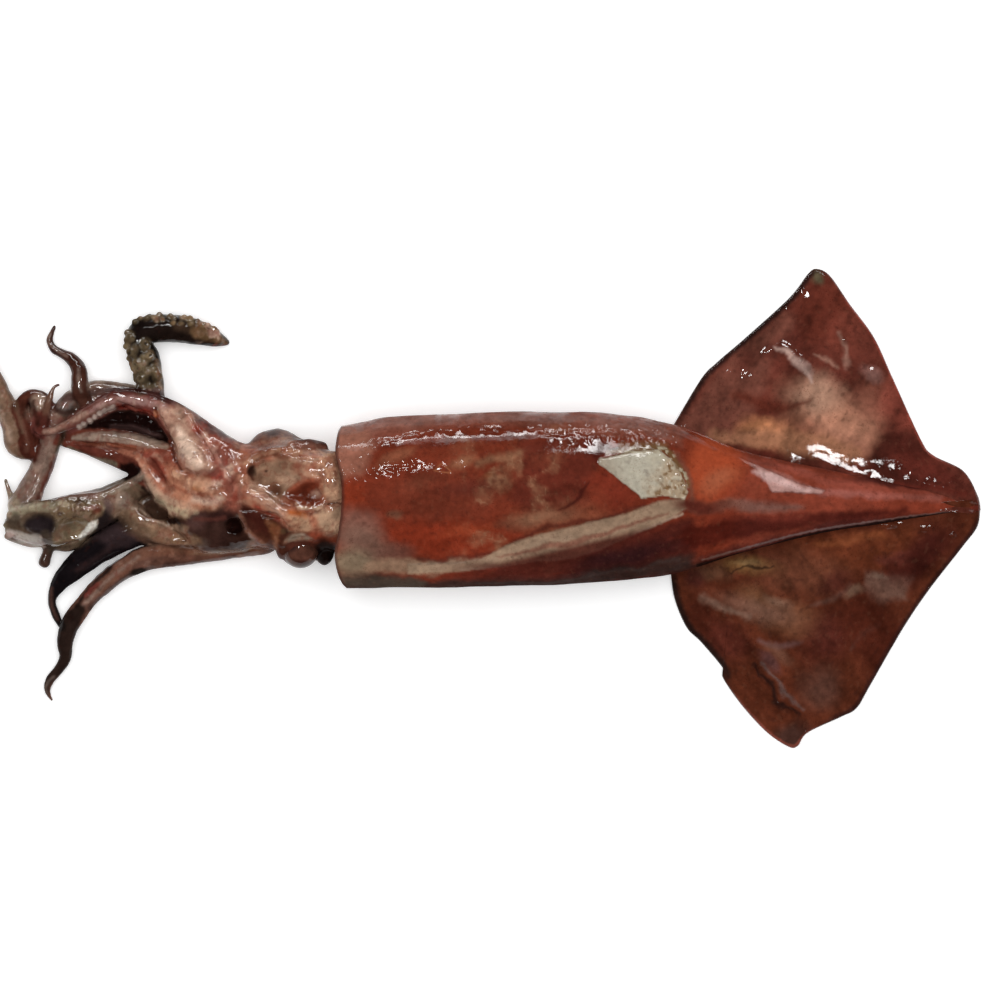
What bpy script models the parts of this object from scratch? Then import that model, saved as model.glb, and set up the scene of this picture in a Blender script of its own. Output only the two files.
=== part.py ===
"""A whole raw squid lying belly up, as one solid, in metres.

+X runs along the body towards the tail, +Y across it, +Z up. The origin is on the flat
underside, in the middle of the mantle. Every form dips a little below the table plane
Z = 0 and is trimmed there, so the animal rests on the flats that its own weight gives it.
"""

import math

import bmesh
import bpy
from mathutils import Vector

MM = 0.001

# Mantle: the body tube, with its open collar towards the head and its cone towards the tail.
COLLAR_X = -70.0  # plane of the collar's edge, in millimetres as all sizes below
TAIL_X = 209.0
MANTLE_RINGS = 30
MANTLE_SIDES = 28
SECTION_SQUARENESS = 0.86  # 1 is an ellipse, less is fuller at the shoulders
WALL = 4.5  # thickness of the mantle's wall, seen at the collar
COLLAR_DEPTH = 7.0  # how far the collar's mouth goes in around the neck
# Stations: distance along X, sideways centre, half width, height.
MANTLE_STATIONS = (
    (-70.0, -2.8, 35.3, 37.0),
    (-50.0, -0.8, 37.0, 39.5),
    (0.0, 0.4, 38.0, 41.0),
    (45.0, 1.0, 36.8, 39.0),
    (76.0, 0.6, 32.8, 34.0),
    (105.0, -0.7, 22.6, 27.0),
    (134.0, -0.3, 15.4, 21.0),
    (164.0, -0.5, 10.2, 14.5),
    (186.0, -1.6, 5.8, 9.0),
    (209.0, -3.6, 1.8, 4.0),
)

# Fins: two sheets that lie on the table under the cone.
FIN_ROOT_THICKNESS = 7.0
FIN_EDGE_THICKNESS = 1.7
FIN_COLUMNS = 34
FIN_ROWS = 7
FIN_ROOT_FRONT_X = 74.0
FIN_ROOT_BACK_X = 206.0
FIN_ROOT_Y = {"left": -9.0, "right": 4.0}  # the sheets overlap under the cone
FIN_DIP = {"left": 1.7, "right": 2.2}  # how far each sheet reaches below the table plane
FIN_EDGE = {
    "left": (
        (76.0, 33.0), (88.0, 53.0), (95.0, 60.3), (108.0, 71.5), (126.5, 88.4), (135.0, 99.2),
        (139.0, 101.0), (144.5, 97.8), (153.0, 85.6), (163.5, 71.2), (171.8, 53.2),
        (184.0, 26.6), (189.5, 19.6), (202.5, 12.8), (208.8, 2.2), (210.2, -4.5),
    ),
    "right": (
        (74.5, -31.0), (76.3, -43.0), (81.5, -55.5), (88.3, -62.5), (98.2, -74.5),
        (97.4, -77.5), (105.3, -89.2), (116.3, -101.2), (126.0, -107.8), (130.2, -107.6),
        (134.5, -101.8), (149.0, -94.9), (156.0, -91.0), (162.0, -80.9), (176.5, -55.8),
        (188.0, -38.8), (202.0, -20.8), (208.8, -11.5), (210.0, -2.5),
    ),
}

# Head: neck, cheeks and the crown that carries the arms. Stations as for the mantle.
HEAD_RINGS = 16
HEAD_SIDES = 22
HEAD_STATIONS = (
    (-58.0, -1.0, 19.0, 26.0),
    (-70.0, -1.0, 20.5, 28.0),
    (-80.0, 1.5, 23.0, 30.0),
    (-92.0, 2.5, 24.5, 31.0),
    (-106.0, 2.0, 22.5, 29.0),
    (-118.0, 1.5, 24.0, 27.0),
    (-130.0, 2.5, 25.0, 24.0),
    (-141.0, 5.0, 19.0, 19.0),
    (-150.0, 8.0, 11.0, 13.0),
)
EYES = (  # name, centre, radii
    ("eye_right", (-87.5, -20.0, 14.0), (9.6, 9.2, 11.5)),
    ("eye_left", (-98.0, 22.5, 13.0), (10.5, 8.5, 11.0)),
)
FUNNEL_PIT = ((-93.0, 5.5, 33.0), (15.0, 9.5, 7.5))
BALL_SEGMENTS = 16
BALL_RINGS = 10

# Limbs: rows of X, Y, radius, and how far the underside is off the table.
LIMB_SIDES = 8
LIMB_RING_SPACING = 4.2
TABLE_DIP = 0.12  # share of a limb's radius that its own weight flattens against the table
LIMBS = {
    "arm_keeled": (
        (-112.0, 14.0, 9.5, 6.0), (-128.0, 25.5, 7.6, 5.0), (-139.0, 35.5, 6.0, 3.5),
        (-151.0, 40.5, 4.3, 5.5), (-164.0, 43.8, 3.1, 6.0), (-173.0, 44.0, 2.8, 5.0),
        (-184.0, 37.0, 2.1, 4.5), (-193.0, 31.0, 1.8, 5.0), (-200.0, 30.6, 1.5, 5.0),
        (-204.9, 35.5, 1.2, 4.0), (-208.5, 39.5, 0.8, 3.0),
    ),
    "arm_middle": (
        (-112.0, 8.0, 11.0, 3.0), (-130.0, 13.5, 10.5, 2.5), (-146.0, 16.5, 7.6, 2.0),
        (-160.0, 22.0, 5.4, 1.5), (-172.0, 25.0, 3.8, 1.0), (-184.0, 26.5, 2.6, 1.0),
        (-193.0, 27.8, 1.2, 1.0),
    ),
    "web_lobe": (
        (-157.0, 15.0, 4.0, 4.0), (-150.0, 6.0, 4.4, 6.0), (-142.0, -1.0, 4.0, 8.0),
        (-131.0, -5.5, 4.0, 8.0), (-120.0, -6.0, 5.0, 8.0),
    ),
    "arm_slender": (
        (-158.0, 36.0, 3.2, 1.0), (-172.0, 37.5, 3.2, 1.0), (-182.0, 42.0, 3.3, 0.0),
        (-183.0, 53.0, 3.7, 0.0), (-187.0, 61.5, 2.6, 0.0), (-194.0, 64.8, 1.8, 0.0),
        (-196.5, 69.0, 1.5, 0.0), (-194.6, 75.6, 0.8, 0.0),
    ),
    "arm_hooked": (
        (-146.0, 34.0, 5.5, 1.0), (-152.5, 44.0, 6.6, 0.0), (-154.3, 56.5, 6.8, 0.0),
        (-156.6, 66.0, 7.0, 0.0), (-156.0, 73.0, 6.2, 0.0), (-148.5, 74.8, 6.0, 0.0),
        (-140.0, 74.6, 5.9, 0.0), (-131.0, 73.2, 4.5, 0.0), (-124.0, 70.6, 2.6, 0.0),
        (-119.6, 69.2, 1.0, 0.0),
    ),
    "arm_curled": (
        (-190.0, 31.0, 3.0, 1.5), (-197.5, 34.0, 3.4, 0.5), (-206.0, 36.0, 2.4, 0.0),
        (-209.8, 41.0, 1.9, 0.0), (-207.0, 45.8, 1.8, 0.0), (-200.5, 46.5, 1.6, 0.5),
        (-196.0, 46.0, 1.3, 1.0), (-192.6, 50.0, 0.8, 1.0),
    ),
    "tentacle_near": (
        (-142.0, 36.0, 4.2, 0.0), (-158.0, 47.2, 3.8, 0.0), (-170.0, 49.6, 3.5, 0.0),
        (-180.0, 48.6, 3.6, 0.0), (-188.0, 44.0, 4.4, 0.0), (-193.0, 36.0, 4.9, 0.0),
        (-195.5, 26.0, 5.2, 0.0), (-198.5, 16.0, 5.4, 0.0), (-203.0, 6.5, 5.9, 0.0),
        (-208.0, -3.0, 7.0, 0.0),
    ),
    "club_near": (
        (-213.6, -9.8, 7.0, 0.0), (-206.0, -10.8, 8.6, 0.0), (-194.0, -11.0, 9.6, 0.0),
        (-183.0, -8.4, 9.2, 0.0), (-173.0, -4.6, 7.6, 0.0), (-163.0, 2.0, 5.6, 0.5),
        (-152.0, 7.0, 5.2, 1.0), (-140.0, 8.0, 5.5, 1.0),
    ),
    "club_tip": ((-197.5, -17.0, 3.0, 0.0), (-198.2, -24.0, 2.4, 0.0), (-200.3, -28.6, 1.4, 0.0)),
    "club_spike": ((-213.0, -6.0, 1.5, 1.0), (-214.0, 1.0, 1.0, 1.0), (-216.2, 9.0, 0.6, 1.0)),
    "tentacle_far": (
        (-194.0, 20.0, 3.2, 0.0), (-203.0, 19.8, 4.0, 0.0), (-210.5, 23.0, 4.6, 0.0),
        (-213.0, 31.0, 4.8, 0.0), (-215.5, 40.0, 4.8, 0.0), (-220.0, 50.0, 4.6, 0.0),
        (-225.5, 60.0, 4.7, 0.0), (-229.5, 70.0, 5.4, 0.0), (-230.5, 80.0, 5.6, 0.0),
        (-227.5, 90.0, 4.0, 0.0), (-222.5, 97.0, 1.6, 0.0),
    ),
    "arm_tan": (
        (-113.0, -15.0, 7.0, 2.0), (-127.0, -18.6, 4.6, 3.0), (-138.0, -18.0, 4.0, 3.0),
        (-149.0, -15.2, 4.6, 2.0), (-156.5, -10.0, 6.2, 1.5), (-163.0, -4.5, 5.0, 1.0),
        (-170.0, 0.0, 4.0, 0.5),
    ),
    "arm_dark": (
        (-146.0, -12.5, 5.6, 0.0), (-159.0, -13.6, 6.8, 0.0), (-170.9, -19.6, 6.5, 0.0),
        (-179.0, -24.6, 5.2, 0.0), (-187.0, -30.2, 4.2, 0.0), (-193.2, -36.5, 3.0, 0.0),
        (-196.0, -44.0, 1.8, 0.0), (-193.8, -51.0, 1.2, 0.0), (-191.6, -54.8, 0.7, 0.0),
    ),
    "arm_long": (
        (-103.0, -17.0, 6.6, 0.0), (-120.0, -21.6, 4.6, 0.0), (-136.0, -24.2, 3.9, 0.0),
        (-149.0, -23.9, 5.2, 0.0), (-160.0, -26.4, 5.6, 0.0), (-171.0, -33.8, 4.9, 0.0),
        (-180.0, -42.5, 4.0, 0.0), (-188.0, -52.0, 3.9, 0.0), (-189.9, -64.0, 3.3, 0.0),
        (-193.0, -74.5, 1.9, 0.0), (-198.2, -82.0, 1.3, 0.0), (-196.0, -87.4, 0.7, 0.0),
    ),
}

# Webs: low folds of skin that close the gaps between limbs, laid out as the limbs are.
WEBS = {
    "web_upper": (
        (-128.0, 22.0, 9.0, 0.0), (-142.0, 29.0, 8.5, 0.0), (-156.0, 33.0, 8.6, 0.0),
        (-170.0, 36.0, 9.0, 0.0), (-184.0, 35.5, 8.0, 0.0), (-190.0, 34.0, 5.0, 0.0),
    ),
    "web_lower": (
        (-122.0, -12.0, 8.0, 0.0), (-138.0, -9.0, 7.0, 0.0), (-150.0, -5.0, 6.0, 0.0),
        (-160.0, 1.0, 4.5, 0.0),
    ),
    "web_curled": ((-195.0, 30.0, 5.6, 0.0), (-203.0, 33.0, 7.6, 0.0), (-205.0, 41.0, 5.2, 0.0)),
}
WEB_FLATNESS = 0.55  # height of a web over its width

CUT_MARGIN = 20.0
SKIN = ((0.21, 0.037, 0.016, 1.0), 0.3)  # linear colour and roughness of the wet skin


def between(rows, place):
    """Smooth curve through rows: the row at place, a number from 0 to len(rows) - 1."""
    index = min(int(place), len(rows) - 2)
    part = place - index
    before = rows[max(index - 1, 0)]
    start, end = rows[index], rows[index + 1]
    after = rows[min(index + 2, len(rows) - 1)]
    values = []
    for p, a, b, q in zip(before, start, end, after):
        slope_a = (b - p) / 2
        slope_b = (q - a) / 2
        cube = 2 * a - 2 * b + slope_a + slope_b
        square = 3 * b - 3 * a - 2 * slope_a - slope_b
        values.append(((cube * part + square) * part + slope_a) * part + a)
    return values


def station_at(stations, x):
    """Row of a table of stations at a distance x along the body, without its own X."""
    index = 0
    heading = math.copysign(1.0, stations[-1][0] - stations[0][0])
    while index < len(stations) - 2 and heading * (x - stations[index + 1][0]) > 0:
        index += 1
    start, end = stations[index][0], stations[index + 1][0]
    return between(stations, index + (x - start) / (end - start))[1:]


def material():
    """Wet red-brown skin."""
    colour, roughness = SKIN
    skin = bpy.data.materials.new("wet_skin")
    skin.use_nodes = True
    shader = skin.node_tree.nodes["Principled BSDF"]
    shader.inputs["Base Color"].default_value = colour
    shader.inputs["Roughness"].default_value = roughness
    shader.inputs["Metallic"].default_value = 0.0
    return skin


def add_object(name, mesh_data, skin, is_helper=True):
    """New object from a bmesh. A helper only feeds a Boolean and is not a part of its own."""
    bmesh.ops.recalc_face_normals(mesh_data, faces=mesh_data.faces)
    for vertex in mesh_data.verts:
        vertex.co *= MM
    mesh = bpy.data.meshes.new(name)
    mesh_data.to_mesh(mesh)
    mesh_data.free()
    mesh.shade_smooth()
    obj = bpy.data.objects.new(name, mesh)
    obj.data.materials.append(skin)
    bpy.context.scene.collection.objects.link(obj)
    if is_helper:
        obj.hide_render = True
        obj.display_type = "WIRE"
    return obj


def loft(rings):
    """Closed bmesh through rings of points, with a fan at each end."""
    mesh_data = bmesh.new()
    rows = [[mesh_data.verts.new(point) for point in ring] for ring in rings]
    count = len(rows[0])
    for row, after in zip(rows, rows[1:]):
        for i in range(count):
            j = (i + 1) % count
            mesh_data.faces.new((row[i], row[j], after[j], after[i]))
    for row in (rows[0], rows[-1]):
        middle = sum((vertex.co for vertex in row), Vector()) / count
        hub = mesh_data.verts.new(middle)
        for i in range(count):
            mesh_data.faces.new((row[i], row[(i + 1) % count], hub))
    return mesh_data


def body_ring(x, centre, half_width, height, sides, shrink=0.0):
    """Cross-section of the body: round above, flattened where it lies on the table."""
    ring = []
    for i in range(sides):
        angle = 2 * math.pi * (i + 0.5) / sides
        side, up = math.cos(angle), math.sin(angle)
        y = math.copysign(abs(side) ** SECTION_SQUARENESS, side)
        z = math.copysign(abs(up) ** SECTION_SQUARENESS, up)
        half_height = height * 0.54
        ring.append(Vector((
            x,
            centre + y * (half_width - shrink),
            height - half_height + z * (half_height - shrink),
        )))
    return ring


def mantle(skin):
    """Body tube with its cone, and the collar's mouth sunk in around the neck."""
    rings = [
        body_ring(COLLAR_X + COLLAR_DEPTH, *MANTLE_STATIONS[0][1:], MANTLE_SIDES, WALL * 1.4),
        body_ring(COLLAR_X + 0.8, *MANTLE_STATIONS[0][1:], MANTLE_SIDES, WALL),
        body_ring(COLLAR_X, *MANTLE_STATIONS[0][1:], MANTLE_SIDES, WALL * 0.45),
    ]
    for i in range(MANTLE_RINGS + 1):
        x = COLLAR_X + 0.9 + (TAIL_X - COLLAR_X - 0.9) * i / MANTLE_RINGS
        rings.append(body_ring(x, *station_at(MANTLE_STATIONS, x), MANTLE_SIDES))
    return add_object("squid", loft(rings), skin, is_helper=False)


def head(skin):
    """Neck, cheeks and crown, from inside the collar to where the arms part."""
    front, back = HEAD_STATIONS[-1][0], HEAD_STATIONS[0][0]
    rings = []
    for i in range(HEAD_RINGS + 1):
        x = back + (front - back) * i / HEAD_RINGS
        rings.append(body_ring(x, *station_at(HEAD_STATIONS, x), HEAD_SIDES))
    return add_object("head", loft(rings), skin)


def ball(name, centre, radii, skin):
    """Ellipsoid, for an eye's bulge or a soft hollow."""
    mesh_data = bmesh.new()
    bmesh.ops.create_uvsphere(
        mesh_data, u_segments=BALL_SEGMENTS, v_segments=BALL_RINGS, radius=1.0
    )
    for vertex in mesh_data.verts:
        vertex.co = Vector(c + v * r for c, v, r in zip(centre, vertex.co, radii))
    return add_object(name, mesh_data, skin)


def fin(side, skin):
    """Thin sheet on the table, from under the cone out to the fin's edge."""
    edge = FIN_EDGE[side]
    root_y = FIN_ROOT_Y[side]
    top, bottom = [], []
    mesh_data = bmesh.new()
    for i in range(FIN_COLUMNS + 1):
        along = i / FIN_COLUMNS
        edge_x, edge_y = between(edge, along * (len(edge) - 1))
        root_x = FIN_ROOT_FRONT_X + (FIN_ROOT_BACK_X - FIN_ROOT_FRONT_X) * along
        for rows, z_of in ((top, fin_thickness), (bottom, lambda share: -FIN_DIP[side])):
            row = []
            for j in range(FIN_ROWS + 1):
                share = j / FIN_ROWS
                row.append(mesh_data.verts.new((
                    root_x + (edge_x - root_x) * share,
                    root_y + (edge_y - root_y) * share,
                    z_of(share),
                )))
            rows.append(row)
    for i in range(FIN_COLUMNS):
        for j in range(FIN_ROWS):
            for rows in (top, bottom):
                mesh_data.faces.new(
                    (rows[i][j], rows[i + 1][j], rows[i + 1][j + 1], rows[i][j + 1])
                )
        for j in (0, FIN_ROWS):
            mesh_data.faces.new((top[i][j], top[i + 1][j], bottom[i + 1][j], bottom[i][j]))
    for i in (0, FIN_COLUMNS):
        for j in range(FIN_ROWS):
            mesh_data.faces.new((top[i][j], top[i][j + 1], bottom[i][j + 1], bottom[i][j]))
    return add_object("fin_" + side, mesh_data, skin)


def fin_thickness(share):
    """Height of the fin's upper face at a share of the way from the root to the edge."""
    return FIN_EDGE_THICKNESS + (FIN_ROOT_THICKNESS - FIN_EDGE_THICKNESS) * (1 - share) ** 1.5


def limb(name, rows, skin, flatness=1.0):
    """Tapered tube along a smooth route, lying on the table or on its neighbours."""
    spans = [math.dist(a[:2], b[:2]) for a, b in zip(rows, rows[1:])]
    places = []
    for index, span in enumerate(spans):
        steps = max(1, round(span / LIMB_RING_SPACING))
        places += [index + step / steps for step in range(steps)]
    places.append(len(rows) - 1)
    samples = [between(rows, place) for place in places]
    centres = [
        Vector((x, y, lift + r * flatness * (1 - TABLE_DIP))) for x, y, r, lift in samples
    ]
    rings = []
    for i, (centre, sample) in enumerate(zip(centres, samples)):
        ahead = centres[min(i + 1, len(centres) - 1)] - centres[max(i - 1, 0)]
        forward = ahead.normalized()
        across = forward.cross(Vector((0, 0, 1))).normalized()
        upward = across.cross(forward)
        radius = sample[2]
        rings.append([
            centre + radius * (math.cos(angle) * across + math.sin(angle) * flatness * upward)
            for angle in (2 * math.pi * (k + 0.5) / LIMB_SIDES for k in range(LIMB_SIDES))
        ])
    return add_object(name, loft(rings), skin)


def table_cutter(skin):
    """Block below the table plane, which trims every underside flat."""
    low = (-300.0 - CUT_MARGIN, -150.0 - CUT_MARGIN, -CUT_MARGIN)
    high = (300.0 + CUT_MARGIN, 150.0 + CUT_MARGIN, 0.0)
    mesh_data = bmesh.new()
    bmesh.ops.create_cube(mesh_data, size=1.0)
    for vertex in mesh_data.verts:
        vertex.co = Vector(
            a + (b - a) * (v + 0.5) for a, b, v in zip(low, high, vertex.co)
        )
    return add_object("table_plane", mesh_data, skin)


def combine(body, other, operation):
    """Boolean of the body with a helper."""
    step = body.modifiers.new(other.name, "BOOLEAN")
    step.operation = operation
    step.solver = "EXACT"
    step.use_self = True
    step.object = other


def main():
    for obj in list(bpy.data.objects):
        bpy.data.objects.remove(obj, do_unlink=True)
    skin = material()
    body = mantle(skin)
    joined = [fin("left", skin), fin("right", skin), head(skin)]
    joined += [ball(name, centre, radii, skin) for name, centre, radii in EYES]
    joined += [limb(name, rows, skin) for name, rows in LIMBS.items()]
    joined += [limb(name, rows, skin, WEB_FLATNESS) for name, rows in WEBS.items()]
    for piece in joined:
        combine(body, piece, "UNION")
    combine(body, ball("funnel_pit", *FUNNEL_PIT, skin), "DIFFERENCE")
    combine(body, table_cutter(skin), "DIFFERENCE")


main()
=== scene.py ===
"""Looks of a whole raw squid that lies belly up on a pale table.

The body, its tail cone, the two fins, and the head with its arms are fine meshes that stand for
the solid squid. The eye and the suckers are small meshes of their own. Sizes in the tables are
millimetres in the model's own frame: +X to the tail, +Y across, +Z up. Colours are painted on the
points as soft strokes and patches, and the materials add the fine mottling, the pigment spots and
the wet film. Colours are linear red, green and blue.
"""

import itertools
import math

import bpy
import numpy as np
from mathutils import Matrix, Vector


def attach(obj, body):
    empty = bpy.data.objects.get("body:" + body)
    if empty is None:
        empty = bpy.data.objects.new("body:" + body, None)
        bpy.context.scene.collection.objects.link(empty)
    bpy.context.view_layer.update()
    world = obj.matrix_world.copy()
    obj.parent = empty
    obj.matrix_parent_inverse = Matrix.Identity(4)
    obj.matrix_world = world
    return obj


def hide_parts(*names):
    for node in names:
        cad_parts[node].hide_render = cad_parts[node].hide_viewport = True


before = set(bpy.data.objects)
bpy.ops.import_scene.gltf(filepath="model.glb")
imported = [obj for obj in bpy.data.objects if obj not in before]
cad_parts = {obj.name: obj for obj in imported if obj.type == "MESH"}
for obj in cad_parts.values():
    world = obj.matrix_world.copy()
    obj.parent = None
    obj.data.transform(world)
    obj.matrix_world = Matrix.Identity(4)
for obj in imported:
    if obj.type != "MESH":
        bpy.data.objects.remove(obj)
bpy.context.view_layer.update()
MM = .001

# ---------------------------------------------------------------- sizes of the mantle
COLLAR_X = -70
TAIL_X = 209
WALL = 4.5
COLLAR_DEPTH = 7
TUBE_END_X = 84  # where the mesh of the tube gives way to that of the tail cone
TUBE_RINGS = 365
CONE_RINGS = 250
MANTLE_SIDES = 256
MANTLE_STATIONS = (  # X, sideways centre, half width, height
    (-70, -2.8, 35.3, 37), (-50, -.8, 37, 39.5), (0, .4, 38, 41), (45, 1, 36.8, 39), (76, .6, 32.8, 34),
    (105, -.7, 22.6, 27), (134, -.3, 15.4, 21), (164, -.5, 10.2, 14.5), (186, -1.6, 5.8, 9),
    (209, -3.6, 1.8, 4),
)
SECTION_SQUARENESS = .86
HALF_HEIGHT_SHARE = .54  # of a section's height: over half, so that it rests flat on the table
TIP_LENGTH = .4

# ---------------------------------------------------------------- sizes of the fins
FIN_ROOT_THICKNESS = 7
FIN_EDGE_THICKNESS = 1.5
FIN_COLUMNS = 400
FIN_ROWS = 215
FIN_UNDER_ROWS = 12
FIN_TAPER = 1.5  # how fast it thins out from its root
FIN_RIM_ROUNDING = 1.1
FIN_ROOT = {"left": ((74, 8), (206, -6)), "right": ((74, -8), (206, 0))}
FIN_EDGE = {
    "left": ((76, 33), (88, 53), (95, 60.3), (108, 71.5), (126.5, 88.4), (135, 99.2), (139, 101),
        (144.5, 97.8), (153, 85.6), (163.5, 71.2), (171.8, 53.2), (184, 26.6), (189.5, 19.6), (202.5, 12.8),
        (208.8, 2.2), (210.2, -4.5)),
    "right": ((74.5, -31), (76.3, -43), (81.5, -55.5), (88.3, -62.5), (98.2, -74.5), (97.4, -77.5),
        (105.3, -89.2), (116.3, -101.2), (126, -107.8), (130.2, -107.6), (134.5, -101.8), (149, -94.9),
        (156, -91), (162, -80.9), (176.5, -55.8), (188, -38.8), (202, -20.8), (208.8, -11.5), (210, -2.5)),
}

# ---------------------------------------------------------------- sizes of the head and limbs
FIELD_STEP = .5  # spacing of the points from which the head's surface is drawn
HEAD_STATIONS = (
    (-56, -1, 19, 26), (-70, -1, 20.5, 28), (-80, 1.5, 23, 30), (-92, 2.5, 24.5, 31), (-106, 2, 22.5, 29),
    (-118, 1.5, 24, 27), (-130, 2.5, 25, 24), (-141, 5, 19, 19), (-150, 8, 11, 13),
)
# Limbs: rows of X, Y, radius, and how far the underside is off the table.
LIMBS = {
    "arm_keeled": ((-112, 14, 9.5, 6), (-122, 20.4, 8.6, 6), (-130, 27, 7.6, 5.2), (-139.5, 35, 6.4, 4.6),
        (-151, 41.2, 4.6, 6.5), (-162, 44, 3.3, 8.4), (-170, 43, 3.2, 8.6), (-178, 38.9, 3, 8.6),
        (-185, 34.2, 2.7, 9), (-193, 30.9, 2.3, 9.4), (-199, 29.8, 1.8, 8.4), (-202.6, 31.4, 1.5, 6.4),
        (-202.8, 34.6, 1, 5.4)),
    "arm_middle": ((-112, 8, 11, 3), (-130, 13.5, 10.5, 2.5), (-146, 18, 7.8, 2), (-158, 23.6, 5, 3),
        (-170.5, 26.8, 3.8, 3), (-180, 27.6, 2.7, 2.4), (-188.5, 27.6, 1.3, 1.6)),
    "arm_middle_skirt": ((-193.4, 26, 1.6, .6), (-182, 22.8, 2.4, .6), (-173, 20.4, 3.6, .6),
        (-165, 17.6, 4.4, .6), (-157, 14.6, 5.4, .8), (-149, 10.6, 6.4, 1), (-139, 4, 7.2, 1.4)),
    "arm_slender": ((-170, 39.4, 3, 3.4), (-178.5, 40.6, 3.4, 3.6), (-183, 46.5, 3.7, 3.8),
        (-183.5, 52.2, 3.7, 2.8), (-184, 57, 3.5, 1.4), (-187.4, 61.4, 2.7, .4), (-191.6, 63.9, 2, .1),
        (-195.2, 66.2, 1.8, 0), (-196.8, 70.2, 1.5, 0), (-194.9, 75.8, .8, 0)),
    "arm_hooked": ((-149, 37, 4.4, 0), (-151.8, 45, 5.3, 0), (-153.2, 53, 6.2, 0), (-154.6, 60.5, 6.5, 0),
        (-157.6, 67.4, 6.2, 0), (-156, 73.2, 6.1, 0), (-149.5, 75, 6.2, 0), (-140, 74.6, 6.1, 0),
        (-131, 72.9, 5.2, 0), (-124.6, 70.8, 3.6, 0), (-119.8, 69.2, 1.5, 0)),
    "arm_curled": ((-203, 20.5, 3.2, 0), (-205.6, 25, 3.4, .5), (-206.4, 30, 3.4, 2), (-208, 35.7, 3, 3),
        (-209.4, 40.8, 2.7, 3.4), (-207.4, 44.6, 2.4, 3.6), (-203.8, 45.8, 2.3, 3.6),
        (-199.2, 44.8, 2.2, 3.4), (-196.4, 41, 2, 3), (-195.5, 36, 2.2, 3)),
    "curl_inner": ((-204.5, 43.7, 1.4, 4), (-202.2, 39.7, 1.6, 4.6), (-200.8, 35.7, 1.7, 5),
        (-200.2, 31.7, 1.7, 5.4)),
    "curl_hook": ((-199.5, 32.7, 2.5, 6), (-198.2, 38.2, 2.2, 6.8), (-196.6, 43.4, 1.5, 7),
        (-195.7, 47, 1, 6.4), (-194.4, 49.5, .7, 5.8), (-192.5, 50.2, .45, 5.4)),
    "tentacle_near": ((-142, 38, 4, 0), (-158, 45.8, 3.6, 0), (-166, 48, 3.4, 0), (-175, 48.9, 3.4, 0),
        (-183, 46.6, 3.6, 0), (-189, 42, 4, 0), (-193.4, 35, 4.4, 0), (-196, 27.2, 4.7, 0),
        (-198.2, 19.7, 4.8, 0), (-201, 12.2, 5, 0), (-204.5, 5.2, 5.6, 0), (-208, -3, 7, 0)),
    "tentacle_far": ((-199.4, 21, 2.4, 0), (-204, 21, 3.6, 0), (-211, 23.6, 4.8, 0), (-212.4, 31, 4.9, 0),
        (-215.5, 40, 4.9, 0), (-220, 50, 4.6, 0), (-225.5, 60, 4.7, 0), (-229.5, 70, 5.4, 0),
        (-230.5, 80, 5.6, 0), (-227.5, 90, 4, 0), (-222.5, 97, 1.6, 0)),
    "club_near": ((-208.6, -10.2, 7.4, 0), (-203, -10.6, 8.8, 0), (-194, -9.6, 10.4, 0), (-184, -6.8, 9.8, 0),
        (-174, -3, 8.2, 0), (-164, 2.8, 6.4, .5), (-154, 8, 5.6, 1), (-140, 8, 5.5, 1)),
    "club_flap": ((-214.8, -15.6, 2, 1.5), (-209, -17.4, 2.4, 1.5), (-203.4, -18.4, 2.6, 1.5),
        (-197.5, -17.5, 2.6, 1.5)),
    "club_skirt": ((-197, -19, 2.8, .3), (-189, -19.2, 3.2, .2), (-182.5, -15.6, 3, .2),
        (-177.5, -10.8, 2.6, .4)),
    "club_tip": ((-196.8, -18, 3, 0), (-197.8, -23, 2.4, 0), (-199.2, -27, 2.8, 0)),
    "club_spike": ((-211.6, -5, 3, 3), (-213.2, 0, 2, 2.4), (-214.6, 4, 1.4, 2), (-216, 8.6, .9, 2)),
    "curl_sheet": ((-201.4, 34.6, 2.6, 3), (-201.9, 39.4, 3.4, 3.2), (-201, 43.2, 2.6, 3.4)),
    "behind_keel": ((-163, 45.6, 2, 5.4), (-170, 46, 2.2, 4.8), (-176.4, 44.6, 2.4, 4.2),
        (-182, 41.4, 2.4, 4)),
    "arm_dark": ((-146, -12.5, 5.6, 0), (-159, -13.6, 6.6, 0), (-170.4, -18.8, 6.6, 0), (-178.4, -23.6, 6, 0),
        (-186.4, -30.2, 5.2, 0), (-192.4, -36.2, 3.7, 0), (-195.8, -43.5, 2.2, 0), (-194.2, -50.2, 1.6, 0),
        (-191.9, -55, 1.1, 0)),
    "arm_long": ((-103, -17, 6.6, 0), (-120, -21.6, 4.6, 0), (-136, -24.2, 4, 0), (-147, -24.2, 5.4, 0),
        (-155, -25.6, 5.3, 0), (-163.4, -29.4, 4.8, 0), (-171.5, -35, 4.6, 0), (-179.6, -42.8, 3.9, 0),
        (-187, -53, 4.1, 0), (-190.1, -61.8, 3.6, 0), (-189.9, -68.2, 2.6, 0), (-192.4, -73.6, 2.2, 0),
        (-196.6, -78.4, 1.8, 0), (-198, -83.2, 1.4, 0), (-196, -87.4, .7, 0)),
    "arm_tan": ((-113, -15, 7, 2), (-127, -17.8, 5, 3), (-138, -17, 4.6, 3), (-149, -14.6, 5, 2),
        (-156.5, -9.6, 6, 1.5), (-163, -4.5, 5, 1), (-170, .4, 3.8, .5)),
    "salmon_keel": ((-167, 19.4, 1.2, 5.6), (-160.4, 18.2, 2.2, 7.6), (-155.6, 15.2, 2.7, 9),
        (-152.6, 10.6, 3.2, 8.8), (-148.8, 5.6, 3.9, 8), (-143.6, 1, 4.5, 7.2), (-138, -2.2, 4.4, 7.4),
        (-132.6, -4.6, 3.2, 8.4)),
}
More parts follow.
